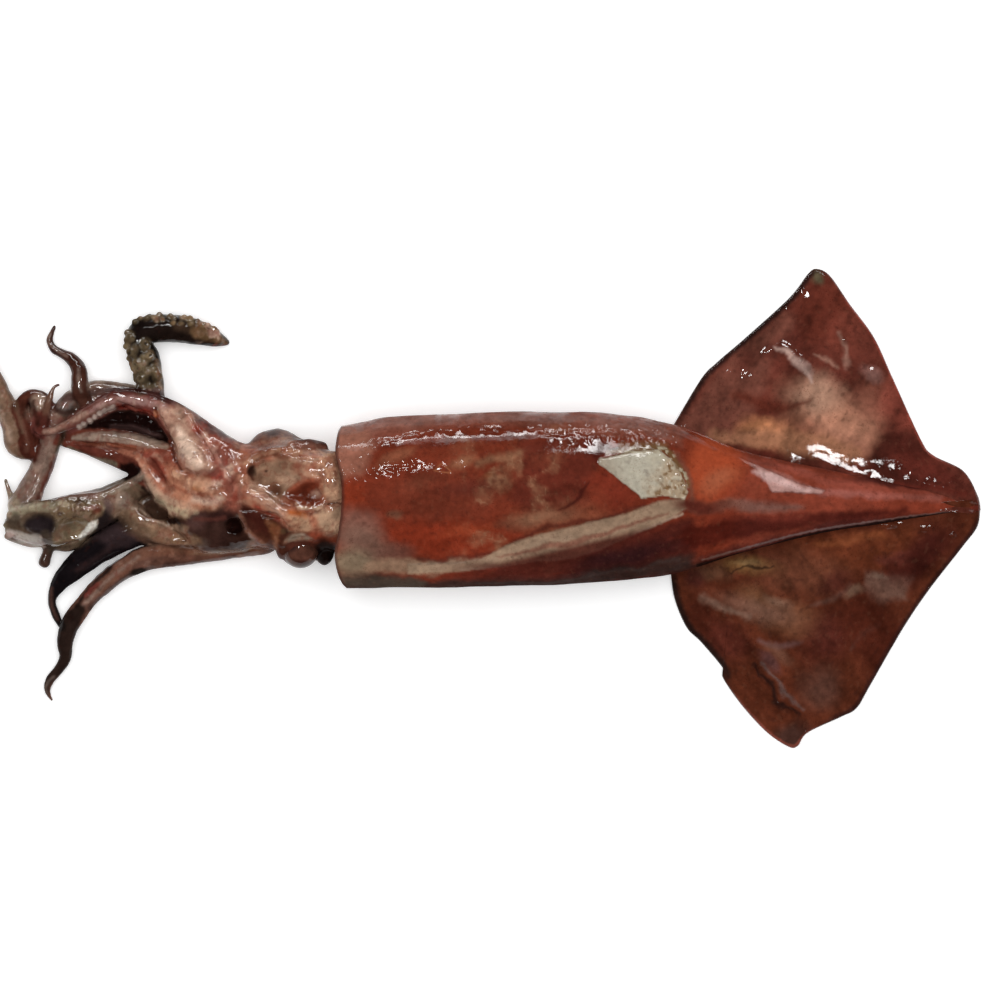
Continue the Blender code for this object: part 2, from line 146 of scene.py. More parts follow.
WEBS = {  # low folds of skin between limbs; web_upper and web_dark also fill deep gaps and are painted dark there as shade
    "web_upper": ((-128, 22, 9, 0), (-142, 29, 8.5, 0), (-156, 33, 8.4, 0), (-170, 35.6, 8.2, 0),
        (-184, 34, 7, 0), (-190, 32.6, 4.6, 0)),
    "web_lower": ((-122, -12, 8, 0), (-138, -9, 8, 0), (-150, -5, 7.4, 0), (-160, 1, 4.5, 0)),
    "web_curled": ((-196, 31, 4.6, 0), (-203, 33, 6.6, 0), (-204.6, 40, 4.6, 0)),
    "web_dark": ((-180, -15, 2.2, 0), (-174.5, -12.8, 3, 0), (-169, -10.2, 3.4, 0), (-163, -9, 3.4, 0)),
}
WEB_FLATNESS = .5
LIMB_BLEND = 1.3  # width of the soft crease where two forms meet
TABLE_DIP = .12
FLESH_PIECES = (  # the flesh is cut into meshes: name, and the two ends of each along the animal
    ("head", -128, 0), ("arms", -168, -128), ("arm_ends", -300, -168),
)

# Folds and pads on the flesh: rows of X, Y, radius, and how far they stand above it.
RIDGES = {
    "tan_line": ((-110.4, 16.4, .9, .4), (-104.4, 20.2, 1, .6), (-97.7, 21.5, 1, .6), (-92.4, 22, 1, .6),
        (-86.6, 21, .9, .4)),
    "cheek_rim": ((-109.2, 15.9, 1.3, .5), (-111.7, 9.6, 1.6, 1), (-111.7, 3.4, 1.8, 1.2),
        (-111.4, -3.8, 1.8, 1.2), (-108.2, -11.9, 1.8, 1.2), (-103, -17.6, 1.7, 1), (-97.4, -22.6, 1.4, .6)),
    "neck_flap": ((-90, 23.6, 2.4, 1.2), (-83, 23.6, 2.8, 1.8), (-77.6, 22.8, 2.6, 1.8)),
    "flesh_top": ((-91, 16.8, 2.8, .8), (-84.4, 17, 3, 1.4), (-77.5, 16, 3, 1.2)),
    "wrap": ((-94, 1, 2, .8), (-90, 4.4, 2.6, 1.8), (-85.5, 7.6, 2.6, 2.2), (-80.2, 9.4, 2.2, 1.8),
        (-77.2, 6.5, 1.7, 1.2)),
    "wrap_low": ((-94, 1, 1.8, .6), (-88.5, -1.2, 2.2, 1.4), (-83, -2, 1.8, 1)),
    "lip": ((-88, -3.6, 1, 1), (-85.3, -4.4, 1.1, 1.8), (-81.3, -4.6, 1.2, 2), (-77.7, -3.4, 1.1, 1.8),
        (-75.6, -1.8, 1, 1)),
    "pad_top_right": ((-73.5, 17, 4.4, 1), (-72.5, 10, 4.6, 2), (-71.8, 3.8, 3.8, 2.2)),
    "pad_low_right": ((-73.8, -6, 4.4, 1.6), (-73.4, -11, 4, 1.6), (-67, -8.5, 4.5, 1.6)),
    "pad_low_mid": ((-88.8, -10.8, 3, 1.2), (-82.8, -10.2, 3.2, 1.6)),
    "pale_band": ((-108.6, 2.6, 2, .8), (-103, -.2, 2.4, 1.4), (-97.2, -2.8, 2.4, 1.4),
        (-92.6, -6.8, 1.8, .8)),
    "cheek_column": ((-95.8, -12.5, 1.6, .6), (-95.6, -18, 1.8, .9), (-95, -24, 1.6, .6)),
    "eye_lid": ((-94, -18.4, 1.2, .6), (-90.6, -14.9, 1.4, 1.2), (-85, -13.9, 1.4, 1.4),
        (-80.2, -16.2, 1.2, .8)),
    "dorsal_edge": ((-168, 46.6, 1.5, 1.2), (-160, 47, 1.8, 1.4), (-151, 44.9, 1.8, 1.2),
        (-143, 41.6, 1.8, .9), (-133, 36, 1.8, .6)),
    "crown_mass": ((-149.5, 38.6, 2.4, .6), (-145, 34.4, 4, 1.2), (-140.6, 29.4, 5.2, 2.2),
        (-136.6, 23.5, 5.8, 3), (-133.4, 18.6, 5.4, 3.2), (-130, 14.4, 4.2, 2.2)),
    "crown_stripe": ((-136, 36.4, 1.6, .8), (-131.6, 31, 1.8, 1), (-127.6, 25, 1.6, .8)),
    "orange_fold": ((-141.5, 12, 2, .8), (-135.5, 8.6, 2.6, 1.2), (-128, 4.4, 2.6, 1.2), (-122, 1, 2, .8)),
    "red_fold_a": ((-123, 19, 1, .6), (-118.4, 12, 1.2, .9), (-113.8, 4.6, 1, .7)),
    "red_fold_b": ((-119.6, 21, .9, .5), (-114.8, 13.6, 1.1, .8), (-111, 6, .9, .6)),
    "red_fold_c": ((-124.6, 4.6, .9, .5), (-118, -.6, 1.1, .8), (-112.2, -6.4, .9, .6)),
    "keel_inner": ((-154, 18.4, 1.4, .8), (-147.4, 14.2, 1.6, 1.2), (-142.6, 8.6, 1.6, 1),
        (-136.6, 4.6, 1.4, .6)),
    "tan_rim": ((-165, 0, .9, .6), (-160.4, -2.6, 1, 1), (-157.4, -3.5, 1, 1.2), (-154.2, -6.4, 1, 1.2),
        (-150.7, -9.3, 1, 1.2), (-144, -12, .9, .9), (-134, -13.2, .8, .7)),
    "tan_line_low": ((-154, -16, .8, .5), (-144, -18.6, .9, .7), (-130, -19.2, .8, .5)),
    "arm_ridge": ((-171.5, 2.2, 1.6, 1), (-166, 4.9, 1.7, 1.4), (-160.5, 7.8, 1.6, 1.4), (-155, 11, 1.4, 1)),
    "club_ledge": ((-213.6, -6.4, 1.6, 1.2), (-208, -4.4, 2.2, 2.6), (-201.5, -2.8, 2.2, 2.6),
        (-195, -1.6, 2, 2)),
    "club_top": ((-191, -.4, 1.6, .6), (-183, .8, 1.8, .9), (-173.5, 1.6, 1.6, .6)),
    "long_keel": ((-141, -22, 1, .6), (-156, -21.8, 1.2, .8), (-168, -29, 1.1, .8), (-179, -38.6, 1, .6)),
}
# Hollows in the flesh: X, Y, half length, half width, depth.
HOLLOWS = {
    "funnel_pit": (-98, 10.6, 10.8, 8, 2.6),
    "funnel_well": (-80.4, 2.4, 3.4, 3, 1.8),
    "crown_gap": (-115.4, -11.4, 4.8, 3.6, 5),
    "keel_hollow": (-149.4, -4, 7.4, 4, 2.4),
    "club_mouth": (-201.2, -10.4, 8.4, 5.2, 4.2),
    "club_sheet": (-184.6, -14.2, 8.6, 6.6, 5),
    "fold_a": (-101, -6.6, 7, 1.5, 1.1),
    "mass_end": (-137.6, 12.6, 4.6, 1.3, 1.4),
}


# ---------------------------------------------------------------- curves and noise
def between(rows, place):
    """Smooth curve through rows, at each place from 0 to len(rows) - 1."""
    rows = np.asarray(rows, float)
    place = np.atleast_1d(np.asarray(place, float))
    index = np.clip(place.astype(int), 0, len(rows) - 2)
    part = (place - index)[:, None]
    before = rows[np.maximum(index - 1, 0)]
    start, end = rows[index], rows[index + 1]
    after = rows[np.minimum(index + 2, len(rows) - 1)]
    slope_a = (end - before) / 2
    slope_b = (after - start) / 2
    cube = 2 * start - 2 * end + slope_a + slope_b
    square = 3 * end - 3 * start - 2 * slope_a - slope_b
    return ((cube * part + square) * part + slope_a) * part + start


def station_at(stations, x):
    """Sideways centre, half width and height at each X."""
    stations = np.asarray(stations, float)
    order = np.argsort(stations[:, 0])
    place = np.interp(x, stations[order, 0], order.astype(float))
    return between(stations, place)[:, 1:].T


NOISE_TABLE = np.random.default_rng(11).uniform(-1, 1, 8192)


def grain(points, size, seed=0):
    """Smooth noise from -1 to 1 on points, with grains of about that size."""
    spot = np.asarray(points) / size + seed * 19.37
    cell = np.floor(spot).astype(np.int64)
    part = spot - cell
    ease = part * part * (3 - 2 * part)
    total = np.zeros(len(spot))
    for corner in itertools.product((0, 1), repeat=spot.shape[1]):
        mixed = (cell + corner) * np.array((73856093, 19349663, 83492791))[: spot.shape[1]]
        number = np.bitwise_xor.reduce(mixed, axis=1)
        number = (number ^ (number >> 13)) * 1274126177
        number = (number ^ (number >> 16)) & (len(NOISE_TABLE) - 1)
        weight = np.prod(np.where(corner, ease, 1 - ease), axis=1)
        total += NOISE_TABLE[number] * weight
    return total


def mottle(points, size, octaves=3, seed=0):
    """Several layers of grain, each half the size and strength of the one before."""
    total, strength = 0, 0
    for k in range(octaves):
        total = total + grain(points, size / 2**k, seed + 5 * k) / 2**k
        strength += 1 / 2**k
    return total / strength * 1.5


def streaks(points, size, turn, stretch, seed):
    """Mottling drawn out along a direction, in degrees from the length of the squid."""
    angle = math.radians(turn)
    along = points[:, 0] * math.cos(angle) + points[:, 1] * math.sin(angle)
    across = points[:, 1] * math.cos(angle) - points[:, 0] * math.sin(angle)
    return mottle(np.stack((along / stretch, across, points[:, 2]), axis=1), size, 4, seed)


def speckle(points, size, seed):
    """Scattered flecks: where two grains turned against each other are both high."""
    turned = points @ np.array(((.8, .53, .28), (-.55, .83, 0), (-.23, -.15, .96)))
    both = grain(points, size, seed) + grain(turned, size * .83, seed + 40)
    return ramp(both, .55, 1.15)


def ramp(value, low, high):
    """0 below low, 1 above high, and smooth between them."""
    part = np.clip((value - low) / (high - low), 0, 1)
    return part * part * (3 - 2 * part)


# ---------------------------------------------------------------- painting
def away_from_line(spots, line):
    """Distance of each spot from a line of points, and the share of the line's length there."""
    line = np.asarray(line, float)
    if len(line) == 1:
        return np.linalg.norm(spots - line[0], axis=1), np.zeros(len(spots))
    best = np.full(len(spots), 1e9)
    share = np.zeros(len(spots))
    for k, (start, end) in enumerate(zip(line, line[1:])):
        run = end - start
        t = np.clip((spots - start) @ run / (run @ run), 0, 1)
        gap = np.linalg.norm(spots - start - t[:, None] * run, axis=1)
        nearer = gap < best
        best = np.where(nearer, gap, best)
        share = np.where(nearer, (k + t) / (len(line) - 1), share)
    return best, share


def smooth_line(points, steps=6):
    """More points on a smooth curve through the given ones."""
    if len(points) < 3:
        return np.asarray(points, float)
    return between(points, np.linspace(0, len(points) - 1, (len(points) - 1) * steps + 1))


class Paint:
    """Colours of a mesh's points, laid on as strokes and patches seen from above."""

    def __init__(self, points, ground, waver=1.6):
        self.points = points
        flat = points[:, :2]
        drift = [mottle(points, 10, 4, seed) * waver * 1.2 for seed in (3, 8)]
        fine = [grain(points, 1.3, seed) * .28 for seed in (4, 9)]
        self.spots = flat + np.stack(drift, 1) + np.stack(fine, 1)
        self.steady = flat + np.stack(fine, 1)
        self.colour = np.tile(np.asarray(ground, float), (len(points), 1))
        self.gloss = np.zeros(len(points))
        self.dull = np.zeros(len(points))

    def blend(self, colour, mask):
        """Lays a colour on by a mask from 0 to 1."""
        mask = np.clip(mask, 0, 1)[:, None]
        self.colour = self.colour * (1 - mask) + np.asarray(colour, float) * mask

    def flecks(self, colour, size, seed, low, high, mask, octaves=4):
        """Flecks of a colour where fine mottling passes from low to high, by a mask."""
        self.blend(colour, ramp(mottle(self.points, size, octaves, seed), low, high) * mask)

    def stroke(self, colour, points, width, soft=1.5, strength=1, steady=False):
        """A stroke: points of its middle line, half width, and the softness of its edge."""
        line = smooth_line(points)
        reach = np.max(width) + soft + 4
        low, high = line.min(0) - reach, line.max(0) + reach
        near = np.all((self.points[:, :2] > low) & (self.points[:, :2] < high), axis=1)
        spots = (self.steady if steady else self.spots)[near]
        gap, share = away_from_line(spots, line)
        widths = np.atleast_1d(np.asarray(width, float))
        half = np.interp(share, np.linspace(0, 1, len(widths)), widths)
        mask = np.zeros(len(self.points))
        mask[near] = (1 - ramp(gap, half - soft, half + soft)) * strength
        self.blend(colour, mask)
        return mask

    def patch(self, colour, centre, radii, turn=0, soft=.35, strength=1, steady=False):
        """An oval patch, turned by an angle in degrees. Soft is a share of its radius."""
        spots = (self.steady if steady else self.spots) - np.asarray(centre, float)
        angle = math.radians(turn)
        along = spots @ np.array((math.cos(angle), math.sin(angle))) / radii[0]
        across = spots @ np.array((-math.sin(angle), math.cos(angle))) / radii[1]
        gap = np.hypot(along, across)
        mask = (1 - ramp(gap, 1 - soft, 1 + soft)) * strength
        self.blend(colour, mask)
        return mask

    def area(self, colour, outline, soft=1.2, strength=1, steady=False):
        """A patch with a drawn outline."""
        spots = self.steady if steady else self.spots
        mask = inside(spots, outline, soft) * strength
        self.blend(colour, mask)
        return mask


def inside(spots, outline, soft):
    """1 inside an outline, 0 outside, with a soft edge."""
    line = np.asarray(outline, float)
    closed = np.vstack((line, line[:1]))
    gap, _ = away_from_line(spots, closed)
    crossings = np.zeros(len(spots), bool)
    for (ax, ay), (bx, by) in zip(closed, closed[1:]):
        if ay == by:
            continue
        spans = (spots[:, 1] > min(ay, by)) & (spots[:, 1] <= max(ay, by))
        at = ax + (spots[:, 1] - ay) * (bx - ax) / (by - ay)
        crossings ^= spans & (spots[:, 0] < at)
    signed = np.where(crossings, gap, -gap)
    return ramp(signed, -soft, soft)


# ---------------------------------------------------------------- meshes
def add_mesh(name, points, faces, material, paint=None):
    """New smooth mesh object in metres, from points in millimetres."""
    mesh = bpy.data.meshes.new(name)
    mesh.vertices.add(len(points))
    mesh.vertices.foreach_set("co", (np.asarray(points) * MM).ravel())
    faces = np.asarray(faces)
    mesh.loops.add(faces.size)
    mesh.loops.foreach_set("vertex_index", faces.ravel())
    mesh.polygons.add(len(faces))
    mesh.polygons.foreach_set("loop_start", np.arange(0, faces.size, faces.shape[1]))
    mesh.polygons.foreach_set("use_smooth", np.ones(len(faces), bool))
    mesh.update(calc_edges=True)
    mesh.validate()
    if paint is not None:
        tint = mesh.attributes.new("tint", "FLOAT_COLOR", "POINT")
        rgba = np.column_stack((np.clip(paint.colour, 0, 1), np.ones(len(points))))
        tint.data.foreach_set("color", rgba.ravel())
        film = mesh.attributes.new("film", "FLOAT", "POINT")
        film.data.foreach_set("value", np.clip(paint.gloss, 0, 1))
    mesh.materials.append(material)
    obj = bpy.data.objects.new(name, mesh)
    bpy.context.scene.collection.objects.link(obj)
    return obj


def grid_faces(rows, columns, closed_columns=False):
    """Quads of a grid of points, row by row."""
    index = np.arange(rows * columns).reshape(rows, columns)
    if closed_columns:
        index = np.hstack((index, index[:, :1]))
    return np.stack((index[:-1, :-1], index[:-1, 1:], index[1:, 1:], index[1:, :-1]), axis=-1).reshape(-1, 4)


def lengthwise_normals(grid):
    """Outward unit normals of a grid of rings that run around +X."""
    along = np.gradient(grid, axis=0)
    around = (np.roll(grid, -1, axis=1) - np.roll(grid, 1, axis=1)) / 2
    normal = np.cross(along, around)
    length = np.linalg.norm(normal, axis=-1, keepdims=True)
    return normal / np.maximum(length, 1e-9)


# ---------------------------------------------------------------- the mantle
TORN_PATCH = (
    (42.8, 17.7), (48.3, 18.7), (58.1, 21.1), (68.5, 21.7), (73.4, 18), (77, 14.4), (79.5, 8.3), (81.4, 3.4),
    (79.5, .3), (70.3, 2.1), (61.2, .6), (58.7, 3.4), (53.8, 7), (47.7, 11.9), (42.8, 15.6),
)
SKIN_FOLD = (
    (-40, -27.5), (-22, -27.5), (-8, -25.5), (0, -21.1), (3.7, -19), (18.4, -14.4), (36.7, -10.1), (55, -5.8),
    (68, -.6), (79.5, .8), (81, -3.5), (73.4, -8.3), (67.3, -11.3), (55, -16.2), (42.8, -21.7), (36.7, -23.6),
    (24.5, -26), (12.2, -26.6), (0, -29.1), (-18, -31), (-40, -32),
)
PALE_WEDGE = (
    (103.8, 18.3), (112.3, 14.5), (130.3, 6.9), (140.7, 4.1), (139.7, 2.7), (130.3, 3.2), (118, 3.6),
    (115.2, 8.8), (111.4, 13.6),
)
CREASE = ((38.5, 8), (35.5, 4), (33, -.3), (28.5, -3), (24.5, -4.5))
WET_RIDGE = (
    (-68, 16.2), (-58.3, 18), (-55.9, 23), (-46.7, 26), (-33.2, 29.4), (-19.8, 30.2), (-5.1, 30.9),
    (12, 32.1), (24, 29), (40, 29.5), (56, 29.8), (74, 27),
)
SCRATCH = ((-28.3, 12.5), (-25.3, 15.6), (-21.3, 11.9), (-28.3, 12.5))
SPECKLE_LINE = ((-67, 10.1), (-52.8, 10.7), (-44.2, 13.2), (-34, 16.6))


def mantle_shape():
    """Points of the body as rings from the collar to the tail, with the relief of its skin."""
    rings = np.concatenate((
        np.linspace(COLLAR_X + .9, TUBE_END_X, TUBE_RINGS),
        np.linspace(TUBE_END_X, TAIL_X, CONE_RINGS + 1)[1:],
    ))
    centre, half_width, height = station_at(MANTLE_STATIONS, rings)
    turn = np.linspace(0, 2 * math.pi, MANTLE_SIDES, endpoint=False)
    turn = turn + .58 * np.cos(turn)  # closer together on the upper face
    side, up = np.cos(turn), np.sin(turn)
    y = np.sign(side) * np.abs(side) ** SECTION_SQUARENESS
    z = np.sign(up) * np.abs(up) ** SECTION_SQUARENESS
    half_height = (height * HALF_HEIGHT_SHARE)[:, None]
    grid = np.stack((
        np.repeat(rings[:, None], MANTLE_SIDES, axis=1),
        centre[:, None] + y * half_width[:, None],
        height[:, None] - half_height + z * half_height,
    ), axis=-1)
    relief = mantle_relief(grid.reshape(-1, 3)).reshape(grid.shape[:2])
    return grid + lengthwise_normals(grid) * relief[..., None]


def mantle_relief(points):
    """Height of the skin's relief: slack waves, wrinkles, the fold, the tear and the crease."""
    spots = points[:, :2]
    upper = ramp(points[:, 2], 8, 20)
    relief = mottle(points, 34, 2, 21) * .55 + mottle(points, 9, 2, 22) * .12
    ridge_gap, _ = away_from_line(spots + mottle(points, 6, 2, 23)[:, None] * .9, smooth_line(WET_RIDGE))
    ridge_gap = np.abs(ridge_gap + 1.6 * mottle(points, 7, 3, 39))
    relief += np.exp(-(ridge_gap**2)) * .22 * (1 + 1.4 * mottle(points, 6, 3, 37)) * upper
    net = np.abs(grain(points, 3.2, 31)) + .6 * np.abs(grain(points, 1.7, 32))
    wide = ramp(points[:, 0], 6, 40)
    net_zone = 1 - ramp(ridge_gap, .8 + 2.2 * wide, 2.6 + 4.6 * wide)
    relief += (.35 - net) * (.26 + .26 * wide) * net_zone * upper
    relief += grain(points, 1.3, 35) * .09 * net_zone * upper
    speckle_zone = 1 - ramp(away_from_line(spots, SPECKLE_LINE)[0], 1.6, 4.2)
    relief += (grain(points, 1.1, 33) + grain(points, 1.3, 36)) * .11 * speckle_zone * upper
    fold = inside(spots + mottle(points, 5, 2, 24)[:, None] * .5, SKIN_FOLD, .5)
    relief += fold * .55 * upper
    torn = inside(spots, TORN_PATCH, .5)
    grit = ramp(points[:, 0] - .35 * points[:, 1], 60, 70)
    relief += torn * upper * (-.7 + grit * (.55 * grain(points, 1.6, 34) + .25))
    crease_gap, _ = away_from_line(spots, smooth_line(CREASE))
    relief -= np.exp(-((crease_gap / .7) ** 2)) * .6 * upper
    wedge = inside(spots, PALE_WEDGE, .5)
    relief -= wedge * .9 * ramp(points[:, 2], 3, 8)
    scratch_gap, _ = away_from_line(spots, np.asarray(SCRATCH, float))
    relief += np.exp(-((scratch_gap / .4) ** 2)) * .12 * upper
    return relief


def body_piece(name, rings, material):
    """A stretch of the body from its rings, resting on the table."""
    rings[..., 2] = np.maximum(rings[..., 2], 0)
    points = rings.reshape(-1, 3)
    faces = grid_faces(len(rings), MANTLE_SIDES, closed_columns=True)
    return add_mesh(name, points, faces, material, mantle_paint(points))


def mantle(material):
    """The body: a tube whose mouth is sunk around the neck, and the cone of the tail."""
    grid = mantle_shape()
    tube, cone = grid[:TUBE_RINGS], grid[TUBE_RINGS - 1:]
    first = tube[0]
    middle = first.mean(axis=0)
    lips = []
    for inset, x in ((.35, COLLAR_X - .05), (.9, COLLAR_X - .1), (.99, COLLAR_X + .9),
                     (1.2, COLLAR_X + COLLAR_DEPTH)):
        arm = first - middle
        ring = middle + arm * (1 - inset * WALL / np.linalg.norm(arm, axis=1, keepdims=True))
        ring[:, 0] = x + (first[:, 0] - first[:, 0].mean())
        lips.append(ring)
    deepest = np.repeat(middle[None], MANTLE_SIDES, axis=0)
    deepest[:, 0] = COLLAR_X + COLLAR_DEPTH + .5
    tube = np.concatenate((np.stack([deepest] + lips[::-1]), tube), axis=0)
    near_collar = 1 - ramp(tube[..., 0], COLLAR_X + 2, COLLAR_X + 14)
    tube[..., 0] += collar_wave(tube[..., 1]) * near_collar
    tip = np.repeat(cone[-1].mean(axis=0)[None], MANTLE_SIDES, axis=0)
    tip[:, 0] += TIP_LENGTH
    cone = np.concatenate((cone, tip[None]), axis=0)
    return [body_piece("mantle", tube, material), body_piece("tail_cone", cone, material)]


COLLAR_EDGE = (  # sideways place, and how far the edge lies from a straight cut there
    (-38, 2.4), (-32.4, -.1), (-23.5, -1.5), (-12.3, .4), (-1.1, 1.5), (10.1, 1.1), (21.2, -1.3), (32.4, .2),
)


def collar_wave(y):
    """How far the collar's edge waves along the body, by the sideways place on it."""
    edge = smooth_line(COLLAR_EDGE)
    return np.interp(y, edge[:, 0], edge[:, 1])


def mantle_paint(points):
    """The body's skin: red and brown fields, the tan fold of skin, the tear and the wet film, with painted
    shade on the lower side and in the crease and painted highlights at the collar.
    """
    paint = Paint(points, (.15, .025, .012))
    line, spot, zone = paint.stroke, paint.patch, paint.area
    x, y, z = points.T
    # upper flank, from the wet ridge to the table; the lighter mauve band along its edge is partly the skin's
    # own mauve and partly painted sheen
    zone((.178, .054, .035), ((-72, 15), (-57, 20), (-46, 27), (-20, 31), (12, 32), (40, 28), (60, 26),
        (78, 24), (84, 32), (60, 45), (-72, 45)), 2.6, .95)
    # a lighter band along the upper edge: partly the skin's own mauve, partly painted sheen
    line((.205, .086, .066), ((-70, 31), (-50, 35), (0, 36.8), (40, 34.8), (70, 29)), 2, 1.6, .85)
    line((.23, .1, .074), ((-68, 27), (-52, 31), (-44, 33), (-30, 34)), 1.6, 1.6, .6)
    # orange-brown between the two wet lines, with tan blotches; the lighter patch at the collar is a painted
    # highlight
    zone((.146, .026, .0125), ((-70, 9), (-50, 11), (-34, 16), (-5, 13), (14, 17), (20, 26), (12, 31),
        (-20, 29), (-46, 25), (-57, 18), (-70, 15)), 2.4, .9)
    # painted highlight: the lighter patch at the collar
    zone((.25, .1, .066), ((-72, 9), (-64, 9), (-58, 14), (-54, 22), (-58, 31), (-72, 31)), 2.8, .85)
    spot((.265, .092, .048), (-44, 18.6), (8, 2.4), 24, .7, .6)
    spot((.245, .105, .055), (-15.5, 17), (5.6, 2.2), 8, .7, .7)
    line((.235, .11, .06), ((-8, 16), (-2, 18.6), (5, 19), (13, 21.6)), (1.4, 2.2, 1.2), 1.6, .7)
    spot((.25, .12, .045), (-4.2, 10.5), (2.4, 1.5), 0, .7, .6)
    line((.09, .018, .012), ((-34, 22.5), (-20, 25.6), (-4, 26.4), (10, 28)), 1.2, 1.6, .6)
    # the dark middle, and the brick-red sides of it
    spot((.134, .026, .0135), (-22, 2.5), (29, 10.5), 2, .5, .95)
    spot((.08, .017, .012), (-12, 5.5), (14, 3.6), 8, .8, .55)
    spot((.135, .036, .02), (-36, 6.5), (7, 3), 12, .8, .55)
    spot((.185, .027, .011), (-64, 2), (6, 8), 0, .5, .85)
    spot((.178, .024, .01), (-24, -16), (29, 7.5), -3, .45, .9)
    spot((.225, .04, .016), (-14, -13), (11, 2.4), 6, .8, .55)
    spot((.14, .058, .034), (-46, -6.6), (3, 2.2), 0, .6, .75)
    # mauve, grey and olive skin at the lower collar, with red showing through
    spot((.165, .072, .052), (-61, -11), (9.5, 7), -20, .6, .85)
    spot((.165, .086, .062), (-58, -19.5), (14, 6.5), -24, .6, .85)
    spot((.19, .14, .09), (-63, -27.5), (10, 5.6), -8, .6, .88)
    spot((.135, .055, .04), (-44, -22.6), (6.5, 3.6), 6, .7, .6)
    line((.25, .15, .095), ((-56, -29.6), (-42, -28.8), (-28, -28.6), (-14, -27.6)),
        (2.6, 3.2, 2.6, 1.2), 1.6, .9)
    # maroon in front of the tear, orange and pink freckled skin below it
    zone((.107, .02, .012), ((10, 26), (30, 28), (45, 27), (44, 20), (42, 14), (41, 6), (38, -2), (28, -6),
        (12, -6), (4, 0), (8, 14)), 3.4, .92)
    spot((.06, .009, .007), (41, 23), (3.6, 5), 0, .7, .8)
    spot((.15, .034, .018), (22, 19), (8, 4), 20, .8, .6)
    zone((.205, .062, .032), ((6, -8), (22, -5), (38, -3.4), (52, -4.6), (48, -8), (30, -12),
        (14, -16)), 6, .8)
    spot((.15, .023, .012), (48, 4), (10, 8.5), -35, .45, .9)
    spot((.15, .028, .014), (43, 1), (5, 3.2), -40, .8, .6)
    spot((.225, .125, .062), (64, -5.6), (10, 2.8), 12, .6, .75)
    # thin tan tissue clouding the middle
    tissue = ramp(mottle(points, 8, 5, 38), -.15, .75)
    tissue = tissue * ramp(x, -26, 2) * ramp(-x, -36, -12) * ramp(z, 26, 34)
    tissue *= 1 + .5 * grain(points, 1.8, 42)
    paint.blend((.275, .125, .068), tissue * .62)
    spot((.24, .125, .072), (16, -8.4), (12, 2.6), 8, .9, .6)
    veins = 1 - ramp(np.abs(grain(points, 3.4, 40) + .5 * grain(points, 1.6, 41)), 0, .14)
    veins = veins * ramp(tissue, 0, .4)
    paint.blend((.31, .16, .09), veins * .35)
    # the tan fold of skin: its shadow, its red line, and its lighter lower hem
    line((.085, .017, .011), ((-36, -25.8), (-12, -25.4), (0, -22), (8, -16.8), (21.4, -12.4), (36.6, -8.6),
        (51.9, -5), (62, -2.2)), .9, .8, .7)
    zone((.3, .198, .13), SKIN_FOLD, .7, .96, steady=True)
    line((.3, .2, .135), ((-30, -27.6), (-8, -27.2), (6, -22.8), (16, -18.8), (30, -15.4)), 1.2, 1.2, .6)
    line((.175, .06, .04), ((0, -24.8), (14, -21.8), (28, -18.8), (44, -14.3), (60, -9), (72, -5.6)),
        (.3, 1.1, 1.4, .9, .4), .8, .75)
    line((.33, .225, .16), ((-17, -30.2), (0, -28.6), (14.7, -26.2), (27.5, -25.4), (41.6, -21.6),
        (55, -15.8), (67, -10.8), (79, -6)), .5, .4, .85, steady=True)
    # the lower flank, painted darker, partly its own colour and partly painted shade on the side away from
    # the light, with a darker strip of painted shade and a dull strip next to the table
    edge = .235 * np.maximum(x, 0)
    lower = (1 - ramp(y, -29 + edge, -25 + edge)) * ramp(x, -34, 2)
    paint.blend((.066, .013, .009), lower * .94)
    paint.blend((.11, .018, .01), lower * ramp(streaks(points, 5, 14, 4, 48), .1, .5) * .6)
    # painted shade: the darkest strip, where the body meets the table
    line((.03, .016, .013), ((-66, -37), (-20, -37.5), (20, -36.5), (60, -31), (84, -26)), 3, 2, .9)
    line((.062, .044, .032), ((-70, -34.6), (-52, -36), (-36, -36.5)), 3, 1.8, .85)
    line((.05, .036, .032), ((-10, -36.2), (20, -35.4), (50, -31.4), (78, -25.6)), .6, .7, .4)
    spot((.022, .007, .008), (54, -24.6), (22, 4.4), 13, .7, .85)
    cone_paint(paint)
    # streaks and fine mottling over the skin; the collar end is painted lighter, painted light over the shade
    # that falls there
    paint.colour *= (1 + .26 * streaks(points, 5, 8, 3, 46) + .16 * mottle(points, 2.4, 3, 47)
        + .16 * (1 - ramp(x, -66, -48)))[:, None]
    paler = ramp(x, 96, 110) * (1 - .6 * ramp(x, 150, 180))
    paint.colour *= 1 + paler[:, None] * (.14, .36, .56)
    torn_paint(paint)
    paint.blend((.25, .11, .06), speckle(points, 1.2, 41) * .06 * ramp(z, 8, 20))
    paint.blend((.04, .01, .008), speckle(points, 1.5, 42) * .26)
    # painted shade: a dark line in the crease
    line((.045, .008, .006), CREASE, (.2, .7, .6, .2), .6, .85, steady=True)
    line((.34, .125, .055), SCRATCH, .25, .4, .7, steady=True)
    paint.gloss = np.clip(.55 + .55 * mottle(points, 12, 3, 43), .1, 1)
    paint.gloss *= ramp(away_from_line(points[:, :2], smooth_line(CREASE))[0], 1, 3)
    paint.gloss *= 1 - .8 * ramp(x, 96, 106)
    paint.gloss *= 1 - .92 * ramp(-y, 25 - edge, 31 - edge)
    paint.gloss *= .45 + .55 * ramp(mottle(points, 2.6, 3, 52), -.25, .2)
    rim = 1 - ramp(x - COLLAR_X - collar_wave(y), .4, 1.8)
    paint.blend((.06, .022, .016), rim * .75)
    inner = 1 - ramp(x, COLLAR_X - 3.5, COLLAR_X + .2)
    paint.blend((.17, .085, .065), inner * .5)
    return paint


